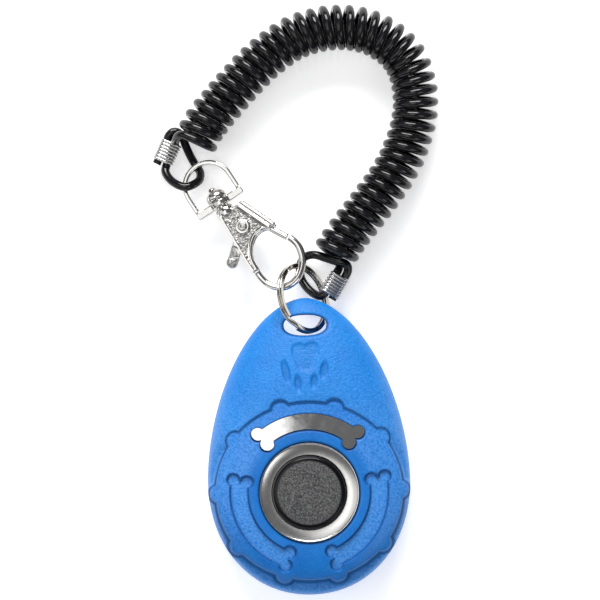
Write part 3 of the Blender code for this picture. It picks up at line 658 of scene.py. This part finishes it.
def outline_angles(spacing):
    """Angles that cut the outline into equal steps."""
    fine = np.linspace(0.0, TAU, 4001)
    reach = egg_radius(fine)
    steps = np.hypot(np.diff(reach * np.cos(fine)), np.diff(reach * np.sin(fine)))
    run = np.concatenate(([0.0], np.cumsum(steps)))
    count = int(run[-1] / spacing)
    return np.interp(np.arange(count) * run[-1] / count, run, fine)


def shell_blank(name, angles, outline, radii, outer_rings, height, flat_z):
    """A solid between a level cut and a curved face. Its rings are round first, then follow the outline."""
    reach = outline(angles)
    rows = [np.full(angles.shape, r) for r in radii]
    last = radii[-1]
    shares = [math.sin(0.5 * math.pi * k / outer_rings) for k in range(1, outer_rings + 1)]
    rows += [last + (reach - last) * share for share in shares]
    radius = np.array(rows)
    x, y = radius * np.cos(angles), radius * np.sin(angles)
    z = height(x, y, np.broadcast_to(reach, x.shape))
    z[-1] = flat_z
    count, ring = len(angles), len(rows)
    verts = np.stack([x.ravel(), y.ravel(), z.ravel()], 1)
    verts = np.vstack([verts, [[0.0, 0.0, z[0].mean()], [0.0, 0.0, flat_z]]])
    i = np.arange(count)
    j = (i + 1) % count
    faces = []
    for k in range(ring - 1):
        a, b = k * count, (k + 1) * count
        faces += np.stack([a + i, b + i, b + j, a + j], 1).tolist()
    top, bottom = len(verts) - 2, len(verts) - 1
    faces += np.stack([np.full(count, top), i, j], 1).tolist()
    edge = (ring - 1) * count
    faces += np.stack([np.full(count, bottom), edge + j, edge + i], 1).tolist()
    return make_mesh(name, verts, faces)


def bone_cutters(middle, low, high):
    angles = [middle + BONE_HALF_ANGLE * (k / 20.0 - 1.0) for k in range(41)]
    inner, outer = ([polar(BONE_RADIUS + side * BONE_SHAFT, angle) for angle in angles] for side in SIDES)
    lobes = [prism("lobe", circle(BONE_LOBE, x, y), low, high) for x, y in lobe_centres(middle)]
    return [prism("bone", inner + outer[::-1], low, high)] + lobes


def oval(half, sides=96):
    """The eyelet's outline."""
    power = 2.0 / EYELET_POWER
    return [(half[0] * math.copysign(abs(x) ** power, x),
             EYELET_Y + half[1] * math.copysign(abs(y) ** power, y)) for x, y in circle(1.0, sides=sides)]


def store(ob, name, values):
    attribute = ob.data.attributes.new(name, "FLOAT", "POINT")
    attribute.data.foreach_set("value", np.asarray(values, np.float32))


def points_of(ob):
    co = np.empty(len(ob.data.vertices) * 3)
    ob.data.vertices.foreach_get("co", co)
    return co.reshape(-1, 3) / MM


# ---- case ----

def mark_face(shell):
    """Store where the face has moulded grain, where pale glints are painted on as highlights, and where shade
    is painted dark into the creases.
    """
    x, y, z = points_of(shell).T
    radius = np.hypot(x, y)
    panel, window, recess = panel_distance(x, y), window_distance(x, y), recess_distance(x, y)
    eyelet = eyelet_distance(x, y, EYELET_FRONT)
    pad, toes = paw_distance(x, y)
    floor = 1.0 - ease(-0.3, 0.0, recess)
    grain = np.maximum(0.3, np.maximum(ease(-0.1, 0.3, panel), floor))
    store(shell, "grain", grain * ease(-0.1, 0.6, eyelet) * ease(0.2, 0.7, window))
    # painted light: a paler band round the bezel across the middle of the face, pale recess floors, and a lit
    # strip on the shelf at the sides and heel
    middle_glint = 0.12 + 0.75 * ease(30.0, 8.0, y) * ease(-15.0, -4.0, y) * ease(12.5, 15.0, radius)
    shelf = 0.9 * ease(0.9, 1.2, panel) * ease(11.0, 3.0, y)
    store(shell, "glint_paint", np.maximum.reduce([middle_glint, floor, shelf]))
    # painted shade: dark lines at the panel's edge, the bone recesses, the paw, the eyelet, the window and
    # the bezel's gap; the panel's line widens towards the heel
    wide = 0.26 + 0.26 * ease(0.3, -0.6, y / radius)
    creases = [
        0.85 * np.exp(-((panel - wide) / wide) ** 2),
        0.75 * np.exp(-((recess + 0.25) / 0.24) ** 2),
        0.08 * (1.0 - ease(-0.3, 0.2, pad)),
        0.28 * (1.0 - ease(-0.5, 0.2, toes)),
        0.7 * (1.0 - ease(0.0, 0.35, eyelet)),
        0.8 * (1.0 - ease(0.0, 0.3, window)),
        0.7 * (1.0 - ease(11.1, 11.4, radius)),
    ]
    store(shell, "crease_shade", np.maximum.reduce(creases) * ease(5.0, 7.0, z))


def build_front(mat):
    radii = np.concatenate([np.arange(*rings) for rings in FACE_RINGS])
    shell = shell_blank("case_front", outline_angles(0.275), egg_radius, radii, 88, front_relief,
                        PART_Z + PART_GAP)
    cavity = shell_blank("cavity", outline_angles(1.5), cavity_radius, np.array([4.0, 9.0, 13.0]), 8,
                         lambda x, y, reach: face_height(x, y, reach, CAVITY_TOP_Z), PART_Z - 1.0)
    shell = cut(shell, [cavity])
    cutters = [prism("seat", circle(BEZEL_OUTER + BEZEL_GAP, sides=160), BEZEL_SEAT_Z, 20.0),
               prism("bore", circle(SHELL_BORE, sides=128), 5.0, 20.0),
               prism("eyelet", oval(EYELET_FRONT), 2.0, 20.0)]
    shell = cut(shell, cutters + bone_cutters(WINDOW_MIDDLE, 7.0, 20.0))
    mark_face(shell)
    return finish(shell, mat, "blue_abs_front", "clicker_case", "front_shell")


def build_rear(mat):
    """The lower half. Its cuts use the exact solver, because the fast one hung on them."""
    shell = shell_blank("case_rear", outline_angles(0.5), egg_radius, np.array([6.0, 11.0]), 44,
                        lambda x, y, reach: back_height(x, y, reach, 0.0), PART_Z - PART_GAP)
    cavity = shell_blank("cavity", outline_angles(1.5), cavity_radius, np.array([5.0, 10.0]), 12,
                         lambda x, y, reach: np.minimum(PART_Z - 0.01, back_height(x, y, reach, FLOOR_Z)),
                         PART_Z + 1.0)
    shell = cut(shell, [cavity], solver="EXACT")
    posts = [prism("boss", circle(BOSS_RADIUS, x, y), 1.2, PART_Z - PART_GAP) for x, y in CASE_SCREWS]
    posts += [prism("post", circle(POST_RADIUS, side * BLADE_SCREW[0], BLADE_SCREW[1]), 1.2, BLADE_Z - 0.25)
              for side in SIDES]
    shell = cut(shell, posts, "UNION", solver="EXACT")
    cutters = [prism("eyelet", oval(EYELET_REAR), -1.0, 8.0)]
    for x, y in CASE_SCREWS:
        cutters += [prism("well", circle(WELL_RADIUS, x, y), -1.0, 3.2),
                    prism("shank", circle(SHANK_RADIUS, x, y), 3.0, 8.0)]
    shell = cut(shell, cutters, solver="EXACT")
    store(shell, "grain", np.ones(len(shell.data.vertices)))
    return finish(shell, mat, "blue_abs_rear", "clicker_case", "rear_shell")


def build_bezel(mat):
    inner, seat = BEZEL_INNER - BEZEL_GAP, BEZEL_SEAT_Z + 0.1
    dish = [(inner + 0.1 + 2.3 * t, 14.8 + 0.12 * t + 0.36 * t * t) for t in np.linspace(0.0, 1.0, 14)]
    rim = [(BEZEL_OUTER - 0.22, BEZEL_LIP_Z - 0.01), (BEZEL_OUTER - 0.1, BEZEL_LIP_Z),
           (BEZEL_OUTER, BEZEL_LIP_Z - 0.12), (BEZEL_OUTER, seat), (inner, seat)]
    profile = [(inner, 14.68)] + dish + rim
    return finish(lathe("bezel", profile, 160), mat, "bezel_chrome", "clicker_case", "bezel_ring")


def build_button(mat):
    """A shallow crowned top, a rounded edge, and the flange and stem inside the case."""
    top, corner = BUTTON_TOP_Z, BUTTON_TOP_Z - BUTTON_EDGE - 0.33
    skin = [(0.0, top), (2.0, top - 0.01), (4.0, top - 0.05), (5.6, top - 0.12), (6.6, top - 0.2),
            (6.95, top - 0.26), (7.2, top - 0.33)]
    edge = [polar(BUTTON_EDGE, a, BUTTON_RADIUS - BUTTON_EDGE, corner)
            for a in np.linspace(0.5 * math.pi - 0.15, 0.0, 9)]
    under = [(BUTTON_RADIUS, 12.5), (FLANGE_RADIUS, 12.4), (FLANGE_RADIUS, 11.3), (6.6, 11.3), (6.6, 15.3),
             (STEM_RADIUS, 15.3), (STEM_RADIUS, BLADE_Z + 0.2), (0.0, BLADE_Z + 0.2)]
    return finish(lathe("button", skin + edge + under, 128), mat, "button_grey", "button", "button_cap")


def build_blade(mat):
    """The clicking blade: its wide foot is held, and its tongue is dished under the button."""
    rows = [(-13.0, 0.6), (-12.7, 2.1), (-12.0, 3.6), (-11.0, 4.9), (-9.5, 6.1), (-8.0, 6.7)]
    rows += [(y, TONGUE_HALF) for y in (-6.0, *np.arange(-5.0, 5.6, 0.5))]
    rows += [(6.2, 7.4), (6.9, 8.0), (7.5, 8.6), (8.0, 11.4), (8.6, 12.2), (9.4, 12.9)]
    rows += [(y, FOOT_HALF) for y in (10.3, *np.arange(11.5, 20.1, 1.2))]
    rows += [(21.0, 13.0), (23.0, 11.7), (24.9, 10.4)]
    columns = np.linspace(-1.0, 1.0, 37)
    count, wide = len(rows), len(columns)
    x = np.outer([half for _, half in rows], columns)
    y = np.outer([along for along, _ in rows], np.ones(wide))
    low = BLADE_Z - 0.6 * (1.0 - ease(0.8, 3.6, np.hypot(x, y)))
    verts = np.concatenate([np.stack([x, y, z], 2).reshape(-1, 3) for z in (low, low + BLADE_THICK)])
    above, last = count * wide, (count - 1) * wide
    faces = []
    for start in range(0, last, wide):
        for a in range(start, start + wide - 1):
            faces += [(a, a + 1, a + wide + 1, a + wide),
                      (above + a, above + a + wide, above + a + wide + 1, above + a + 1)]
    border = list(range(wide)) + list(range(2 * wide - 1, above, wide))
    border += list(range(last + wide - 2, last - 1, -1)) + list(range(last - wide, 0, -wide))
    faces += [(a, b, above + b, above + a) for a, b in zip(border, border[1:] + border[:1])]
    holes = [prism("hole", circle(BLADE_HOLE, side * BLADE_SCREW[0], BLADE_SCREW[1]), 5.0, 12.0)
             for side in SIDES]
    blade = cut(make_mesh("blade", verts, faces), holes)
    blade.data.materials.clear()
    blade.data.materials.append(mat)
    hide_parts("click_blade")
    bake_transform(blade)


def add_screw(name, mat, place_xy, profile, recess):
    """A screw with a cross recess between two heights."""
    here = Matrix.Translation((*place_xy, 0.0))
    long, thin = SCREW_RECESS, 0.22 * SCREW_RECESS
    bars = [rectangle(-long, long, -thin, thin), rectangle(-thin, thin, -long, long)]
    screw = cut(lathe(name, profile, 48, here), [prism("cross", bar, *recess, here) for bar in bars])
    finish(screw, mat, "screw_zinc", "clicker_case", name)


def build_screws(mat):
    """Two pan heads on the blade's foot, and three flat heads in the back's wells."""
    head = BLADE_Z + BLADE_THICK + 1.05
    pan = [(1.3, head), (1.9, head - 0.45), (1.9, head - 0.9), (0.85, head - 0.9), (0.85, 4.7)]
    profile = [(0.0, head)] + rounded(pan, 0.2, 2)[2:] + [(0.0, 4.0)]
    for index, side in enumerate(SIDES, 1):
        spot = (side * BLADE_SCREW[0], BLADE_SCREW[1])
        add_screw(f"blade_screw_{index}", mat, spot, profile, (head - 0.6, head + 1.0))
    profile = [(0.0, 10.4), (0.95, 9.5), (0.95, 3.0), (1.75, 3.0), (1.75, 2.1), (1.55, 1.75), (1.2, 1.6),
               (0.0, 1.55)]
    for index, spot in enumerate(CASE_SCREWS, 1):
        add_screw(f"case_screw_{index}", mat, spot, profile, (0.5, 2.3))


# ---- split ring ----

def ring_frame():
    heading, tilt = math.radians(RING_HEADING), math.radians(RING_TILT)
    along = Vector((*polar(1.0, heading), 0.0))
    side = UP.cross(along)
    raised = side * math.cos(tilt) + UP * math.sin(tilt)
    return frame_of(along, raised, along.cross(raised), RING_CENTRE)


def build_ring(mat):
    """Nearly two turns of flat wire, one on the other, with one crossing step."""
    steps = 420
    path = []
    for i in range(steps + 1):
        turned = RING_TURN * i / steps
        angle = math.radians(RING_START + turned)
        lift = RING_PITCH * (float(ease(332.0, 360.0, turned)) - 0.5)
        path.append((*polar(RING_RADIUS, angle), lift))
    ring = sweep("key_ring", path, box_section(*RING_WIRE, 0.22), UP, matrix=ring_frame())
    return finish(ring, mat, "ring_nickel", "ring", "split_ring")


# ---- trigger snap ----

def clip_frame():
    turn = Matrix.Rotation(math.radians(CLIP_HEADING), 4, "Z")
    rise = Matrix.Rotation(math.radians(-CLIP_RISE), 4, "Y")
    return Matrix.Translation(CLIP_ORIGIN) @ turn @ rise


CLIP = clip_frame()
LAID = Matrix.Rotation(math.radians(90.0), 4, "Y")  # lays a lathe's axis along the clip
CHEEK_OUTLINE = [
    (11.9, -1.8), (24.0, -2.4), (27.0, -2.35), (27.0, -0.75), (24.0, -0.6), (22.2, 0.1), (20.7, 1.3),
    (19.7, 3.0), (19.6, 4.6), (20.3, 6.0), (20.3, 7.6), (11.9, 4.2),
]
BORDER_OUTLINE = [
    (11.9, -1.8), (24.0, -2.4), (26.5, -2.38), (26.5, -1.85), (24.0, -1.85), (12.4, -1.3), (12.4, 2.6),
    (11.9, 2.6),
]
RAIL_OUTLINE = [(11.9, 2.35), (20.2, 5.75), (20.35, 7.7), (19.9, 7.75), (11.7, 4.35)]
HOOK_LINE = [
    (23.5, -1.5), (25.5, -1.5), (28.2, -1.45), (30.4, -0.85), (32.2, 0.7), (33.0, 2.7), (32.8, 4.9),
    (31.5, 7.0), (29.6, 8.5), (27.2, 9.2), (25.6, 9.1), (24.15, 8.62),
]
BEAD_LINE = [
    (26.5, -1.35), (24.2, -1.15), (22.4, -0.45), (20.7, 0.9), (19.55, 2.7), (19.35, 4.6), (20.0, 6.3),
]


def build_bow(mat):
    arc = [(*polar(BOW_RADIUS, a, BOW_ARCH_X), 0.0) for a in np.linspace(0.5 * math.pi, 1.5 * math.pi, 41)]
    left, right = ([(x, side * BOW_RADIUS, 0.0) for x in (9.5, 7.0)] for side in (1.0, -1.0))
    arch = sweep("arch", left + arc + right[::-1], box_section(*BOW_BAND, 0.4), UP)
    low, high = BOW_BASE
    reach = BOW_RADIUS + 0.5 * BOW_BAND[0]
    base = prism("base", rounded(rectangle(low, high, -reach, reach), 0.35), -0.95, 0.95)
    profile = [(0.0, high), (2.0, high), (2.3, high - 0.3), (2.3, low + 0.3), (2.0, low), (0.0, low)]
    bow = fuse("swivel_arch", [arch, base, lathe("eye", profile, 64, LAID)], 0.11, 4)
    cutters = [prism("notch", [(7.9, side * 3.75), (9.0, side * 3.75), (8.9, side * 4.7), (7.9, side * 4.72)],
                     0.25, 2.0) for side in SIDES]
    cutters.append(lathe("bore", [(0.0, 14.0), (1.5, 14.0), (1.5, 5.0), (0.0, 5.0)], 64, LAID))
    bow = cut(bow, cutters, angle=50.0)
    store(bow, "grain", 0.1 * ease(8.3, 8.8, points_of(bow)[:, 0]))
    place(bow, CLIP)
    return finish(bow, mat, "clip_nickel", "bow", "swivel_bow")


def build_stud(mat):
    profile = [(0.0, 12.7), (1.1, 12.7), (1.25, 12.5), (1.25, 8.4), (2.25, 8.37), (2.4, 8.2), (2.42, 7.7),
               (2.3, 7.2), (2.05, 6.8), (1.65, 6.5), (1.15, 6.32), (0.95, 6.2), (0.9, 5.85), (0.75, 5.55),
               (0.4, 5.4), (0.0, 5.36)]
    stud = lathe("swivel_stud", profile, 64, CLIP @ LAID, 55.0)
    return finish(stud, mat, "rivet_nickel", "clip", "swivel_rivet")


def cheek_layer(name, outline, side, top):
    """A plate on one side of the clip, from the gate's slot out to a height."""
    return prism(name, outline, *sorted((side * SLOT_Z, side * top)))


def roughen_cheeks(body, field):
    """Cast relief on the sunk fields of the cheeks, whose height is field."""
    co = points_of(body)
    height = np.abs(co[:, 2])
    normals = np.empty(len(co) * 3)
    body.data.vertices.foreach_get("normal", normals)
    level = ease(0.75, 0.95, np.abs(normals.reshape(-1, 3)[:, 2]))
    mask = level * ease(1.25, 1.4, height) * (1.0 - ease(field + 0.04, field + 0.16, height))
    mask *= ease(12.3, 12.8, co[:, 0]) * (1.0 - ease(24.0, 26.0, co[:, 0]))
    rough = np.array([noise.noise(Vector(p) * 3.2) + 0.5 * noise.noise(Vector(p) * 7.0) for p in co])
    co[:, 2] += np.sign(co[:, 2]) * mask * rough * 0.11
    body.data.vertices.foreach_set("co", (co * MM).ravel())
    store(body, "grain", mask)


def build_clip(mat):
    parts = []
    field = CHEEK_Z - 0.32
    for side in SIDES:
        parts += [cheek_layer("cheek", CHEEK_OUTLINE, side, field),
                  cheek_layer("border", BORDER_OUTLINE, side, CHEEK_Z),
                  cheek_layer("rail", RAIL_OUTLINE, side, CHEEK_Z - 0.05)]
        band_z = side * (CHEEK_Z - 0.25)
        parts += [wire("band", [(11.95, 2.95 + lift, band_z), (20.15, 6.25 + lift, band_z)], 0.6)
                  for lift in (0.0, 1.08)]
        parts.append(cheek_layer("boss", circle(1.6, *PIVOT), side, CHEEK_Z + 0.3))
        bead = [(x, y, side * (CHEEK_Z - 0.5)) for x, y in BEAD_LINE]
        parts.append(wire("bead", spline(bead, 6), 0.52))
    parts.append(prism("neck", [(11.9, -1.8), (13.6, -1.88), (13.6, 4.95), (11.9, 4.2)], -field, field))
    collar = [(0.0, 12.6), (2.2, 12.6), (2.3, 11.7), (2.2, 11.0), (1.9, 10.6), (0.0, 10.6)]
    parts.append(lathe("collar", collar, 64, LAID))
    parts.append(wire("hook", spline([(x, y, 0.0) for x, y in HOOK_LINE], 8), HOOK_WIRE, sides=28))
    body = fuse("snap_body", parts, 0.105, 4)
    at_pivot = Matrix.Translation((*PIVOT, 0.0))
    cutters = [lathe("sink", [(0.0, side * 4.0), (1.2, side * 4.0), (1.2, side * 1.95), (0.0, side * 1.95)],
                     48, at_pivot) for side in SIDES]
    nick = [(11.5, 2.0), (12.35, 2.35), (12.1, 4.9), (11.2, 4.6)]
    cutters += [prism("nick", nick, *sorted((side * (CHEEK_Z + 0.12), side * 4.0))) for side in SIDES]
    body = cut(body, cutters, angle=50.0)
    roughen_cheeks(body, field)
    place(body, CLIP)
    return finish(body, mat, "clip_nickel", "clip", "clip_body")


def build_gate(mat):
    """Sprung lever: a hub on the rivet, the closing bar and the thumb tab."""
    x, y = PIVOT
    arm = [(x - 0.9, y + 1.0), (x + 1.5, y - 0.3), (19.6, 4.7), (19.0, 6.3), (17.2, 5.5)]
    lever = [(x - 1.0, y - 0.6), (20.9, -5.6), (22.7, -4.2), (x + 1.4, y + 0.6)]
    bar = [(17.6, 4.95, 0.0), (19.6, 6.0, 0.0), (21.6, 7.05, 0.0), (23.95, 8.28, 0.0)]
    crown = [(0.0, 0.95), (0.7, 0.92), (1.1, 0.7), (1.27, 0.3)]
    tab = crown + [(r, -z) for r, z in crown[::-1]]
    parts = [prism("hub", circle(1.9, x, y), HUB_LOW, 0.0),
             prism("arm", arm, HUB_LOW, 0.0),
             wire("bar", bar, 0.8, sides=28),
             prism("lever", lever, HUB_LOW, 0.0),
             lathe("tab", tab, 48, Matrix.Translation((21.9, -5.0, 0.0))),
             prism("tab_neck", [(19.1, -2.7), (20.9, -1.9), (23.0, -4.4), (20.9, -5.7)], -0.8, 0.8)]
    gate = fuse("gate", parts, 0.1, 5)
    gate = cut(gate, [prism("hole", circle(0.95, x, y), -3.0, 3.0)], angle=50.0)
    store(gate, "grain", 1.0 - ease(-3.4, -2.2, points_of(gate)[:, 1]))
    place(gate, CLIP)
    return finish(gate, mat, "gate_nickel", "gate", "clip_gate")


def build_gate_rivet(mat):
    """A rivet with a dished head at each end."""
    high = CHEEK_Z + 0.25
    head = [(0.0, 0.28), (0.42, 0.42), (0.78, 0.46), (1.0, 0.3), (1.05, -0.05), (0.72, -0.15)]
    profile = [(r, high + z) for r, z in head] + [(r, -high - z) for r, z in head[::-1]]
    rivet = lathe("gate_rivet_head", profile, 48, CLIP @ Matrix.Translation((*PIVOT, 0.0)), 50.0)
    return finish(rivet, mat, "rivet_nickel", "clip", "gate_rivet")


def build_gate_spring(mat):
    """A leg along the slot, a turn and a quarter round the hub, and a leg on the lever."""
    x, y = PIVOT
    radius, low, rise, steps = 1.3, 0.24, 0.48, 60
    points = [(start, y + radius, low) for start in (13.95, 14.7, 15.4)]
    for i in range(steps + 1):
        angle = math.radians(90.0 - 450.0 * i / steps)
        points.append((*polar(radius, angle, x, y), low + rise * i / steps))
    points += [(x + radius, y - end, low + rise) for end in (1.1, 2.2)]
    spring = wire("gate_spring_wire", points, 0.15, CLIP, 12)
    return finish(spring, mat, "gate_spring_steel", "clip", "gate_spring")


# ---- cord and sleeves ----

def bridge(before, after, pull, count):
    """Points that lead smoothly from the end of one run of points to the start of the next."""
    start, end = before[-1], after[0]
    start_way = (before[-1] - before[-2]).normalized() * pull
    end_way = (after[1] - after[0]).normalized() * pull
    out = []
    for k in range(1, count):
        t = k / count
        out.append(start * (2 * t ** 3 - 3 * t * t + 1) + start_way * (t ** 3 - 2 * t * t + t)
                   + end * (3 * t * t - 2 * t ** 3) + end_way * (t ** 3 - t * t))
    return out


def coil_points(per_turn=24):
    """The helix, from under its axis at loop A to above it at loop B. Its turns vary a little in size."""
    line = spline([(x, y, COIL_Z) for x, y in COIL_ROUTE[::-1]], 24)
    line.insert(0, line[0] + (line[0] - line[1]).normalized() * COIL_EXTRA[0])
    line.append(line[-1] + (line[-1] - line[-2]).normalized() * COIL_EXTRA[1])
    run = np.concatenate(([0.0], np.cumsum([(b - a).length for a, b in zip(line, line[1:])])))
    axis = np.array(line)
    radius = COIL_RADIUS - CORD_RADIUS
    steps = round(COIL_TURNS * per_turn)

    def on_axis(along):
        return Vector([np.interp(along, run, axis[:, k]) for k in range(3)])

    out = []
    for i in range(steps + 1):
        share = i / steps
        along = CORD_RADIUS + (run[-1] - 2.0 * CORD_RADIUS) * share
        ahead = on_axis(along + 0.3) - on_axis(along - 0.3)
        side = Vector((-ahead.y, ahead.x, 0.0)).normalized()
        angle = TAU * (COIL_TURNS * share - 0.25)
        wobble = 1.0 + 0.012 * math.sin(0.9 * angle) + 0.01 * math.sin(0.37 * angle + 1.0)
        reach = radius * min(1.0, wobble)
        out.append(on_axis(along) + side * reach * math.cos(angle) + UP * reach * math.sin(angle))
    return out


def build_cord(mat):
    """One continuous cord: loop A from its stub, the helix, and loop B to its stub."""
    loop_a, coil, loop_b = spline(LOOP_A_ROUTE, 6), coil_points(), spline(LOOP_B_ROUTE, 6)[::-1]
    points = loop_a + bridge(loop_a, coil, *JOINS[0]) + coil + bridge(coil, loop_b, *JOINS[1]) + loop_b
    curve = bpy.data.curves.new("wrist_cord", "CURVE")
    curve.dimensions = "3D"
    curve.bevel_depth = CORD_RADIUS * MM
    curve.bevel_resolution = 4
    curve.use_fill_caps = True
    line = curve.splines.new("POLY")
    line.points.add(len(points) - 1)
    for knot, point in zip(line.points, points):
        knot.co = (*(point * MM), 1.0)
    line.use_smooth = True
    cord = link("wrist_cord", curve)
    return finish(cord, mat, "cord_black_pu", "strap", "wrist_coil", "cord_loop_a", "cord_loop_b")


def stadium(half_width, half_height, sides=17):
    """A flat section with half-round ends."""
    points = []
    for side in (1.0, -1.0):
        for i in range(sides):
            x, y = polar(half_height, math.pi * (i / (sides - 1) - 0.5), half_width - half_height)
            points.append((side * x, side * y))
    return points


def build_sleeve(key, mat):
    """A ridged crimp round two strands of cord."""
    middle, heading, length = SLEEVES[key]
    steps = 84
    shares = [i / steps for i in range(steps + 1)]
    path = [(0.0, 0.0, (share - 0.5) * length) for share in shares]
    scales = [0.84 + 0.16 * abs(math.sin(math.pi * SLEEVE_RIDGES * share)) ** 0.7 for share in shares]
    sleeve = sweep(f"sleeve_{key}", path, stadium(*SLEEVE_HALF), (0.0, 1.0, 0.0), scales)
    strands = stadium(STRAND_OFFSET + STRAND_BORE, STRAND_BORE)
    bore = sweep("bore", [(0.0, 0.0, -9.0), (0.0, 0.0, 9.0)], strands, (0.0, 1.0, 0.0))
    sleeve = cut(sleeve, [bore], angle=50.0)
    along = Vector((*polar(1.0, math.radians(heading)), 0.0))
    place(sleeve, frame_of(along.cross(UP), UP, -along, Vector(middle)))
    return finish(sleeve, mat, "sleeve_tinned", "strap", f"crimp_sleeve_{key}")


# ---- stage ----

def add_camera():
    """A long lens straight above, with the object turned in its view."""
    data = bpy.data.cameras.new("camera")
    data.lens = LENS
    data.sensor_width = SENSOR
    data.clip_end = 10.0
    camera = link("camera", data)
    camera.location = (Vector(VIEW_CENTRE) + UP * (VIEW_WIDTH * LENS / SENSOR)) * MM
    camera.rotation_euler = (0.0, 0.0, -math.radians(VIEW_TURN))
    bpy.context.scene.camera = camera


def add_light(name, here, aim, size, power):
    data = bpy.data.lights.new(name, "AREA")
    data.shape = "RECTANGLE"
    data.size, data.size_y = size
    data.energy = power
    lamp = link(name, data)
    lamp.location = Vector(here) * MM
    lamp.rotation_euler = (Vector(aim) - Vector(here)).to_track_quat("-Z", "Y").to_euler()


def add_stage():
    """A white floor that glows a little, a dim world and five soft lights."""
    paint = Surface("floor_white", (0.86, 0.86, 0.87), 0.9)
    paint.colour(paint.mix(paint.noise(60.0, 2.0), (0.85, 0.85, 0.86), (0.88, 0.88, 0.88)))
    paint.put("Emission Color", (1.0, 1.0, 1.0, 1.0))
    paint.put("Emission Strength", FLOOR_GLOW)
    floor = prism("floor", rounded(rectangle(-900.0, 900.0, -860.0, 940.0), 120.0, 6), -6.0, -0.02)
    floor.data.materials.append(paint.material)
    world = bpy.data.worlds.new("studio")
    world.use_nodes = True
    sky = world.node_tree.nodes["Background"].inputs
    sky["Color"].default_value = (0.86, 0.88, 0.92, 1.0)
    sky["Strength"].default_value = WORLD_STRENGTH
    scene = bpy.context.scene
    scene.world = world
    for light in LIGHTS:
        add_light(*light)
    scene.view_settings.view_transform = "Standard"
    scene.view_settings.look = "None"


# ---- everything ----

def main():
    add_camera()
    cord = build_cord(cord_plastic())
    tin = polished_metal("sleeve_tin", (0.6, 0.59, 0.58), 0.12, 0.006, 0.8)
    sleeves = [build_sleeve(key, tin) for key in SLEEVES]
    build_front(blue_plastic("blue_front", (0.003, 0.25, 0.74), (0.001, 0.14, 0.52), 1.2))
    build_rear(blue_plastic("blue_rear", (0.005, 0.21, 0.68), (0.002, 0.14, 0.52), 0.8))
    build_bezel(polished_metal("bezel_polish", (0.62, 0.61, 0.59), 0.25, 0.003, wear=0.1))
    build_button(button_rubber())
    build_blade(polished_metal("blade_polish", (0.82, 0.81, 0.79), 0.04, 0.006, 9.0, 0.02))
    build_screws(polished_metal("zinc", (0.7, 0.7, 0.72), 0.28, 0.01))
    build_ring(polished_metal("ring_plate", (0.55, 0.52, 0.46), 0.14, 0.006))
    nickel = cast_metal("clip_plate", (0.66, 0.645, 0.62), (0.06, 0.058, 0.056))
    build_bow(nickel)
    build_stud(polished_metal("stud_plate", (0.72, 0.7, 0.66), 0.16, 0.004, 1.2, 0.05))
    build_clip(nickel)
    build_gate(cast_metal("gate_plate", (0.62, 0.61, 0.59), (0.07, 0.07, 0.068)))
    build_gate_rivet(polished_metal("rivet_plate", (0.5, 0.49, 0.47), 0.18, 0.01, 0.6))
    build_gate_spring(polished_metal("music_wire", (0.5, 0.5, 0.52), 0.25, 0.005))
    add_stage()


main()
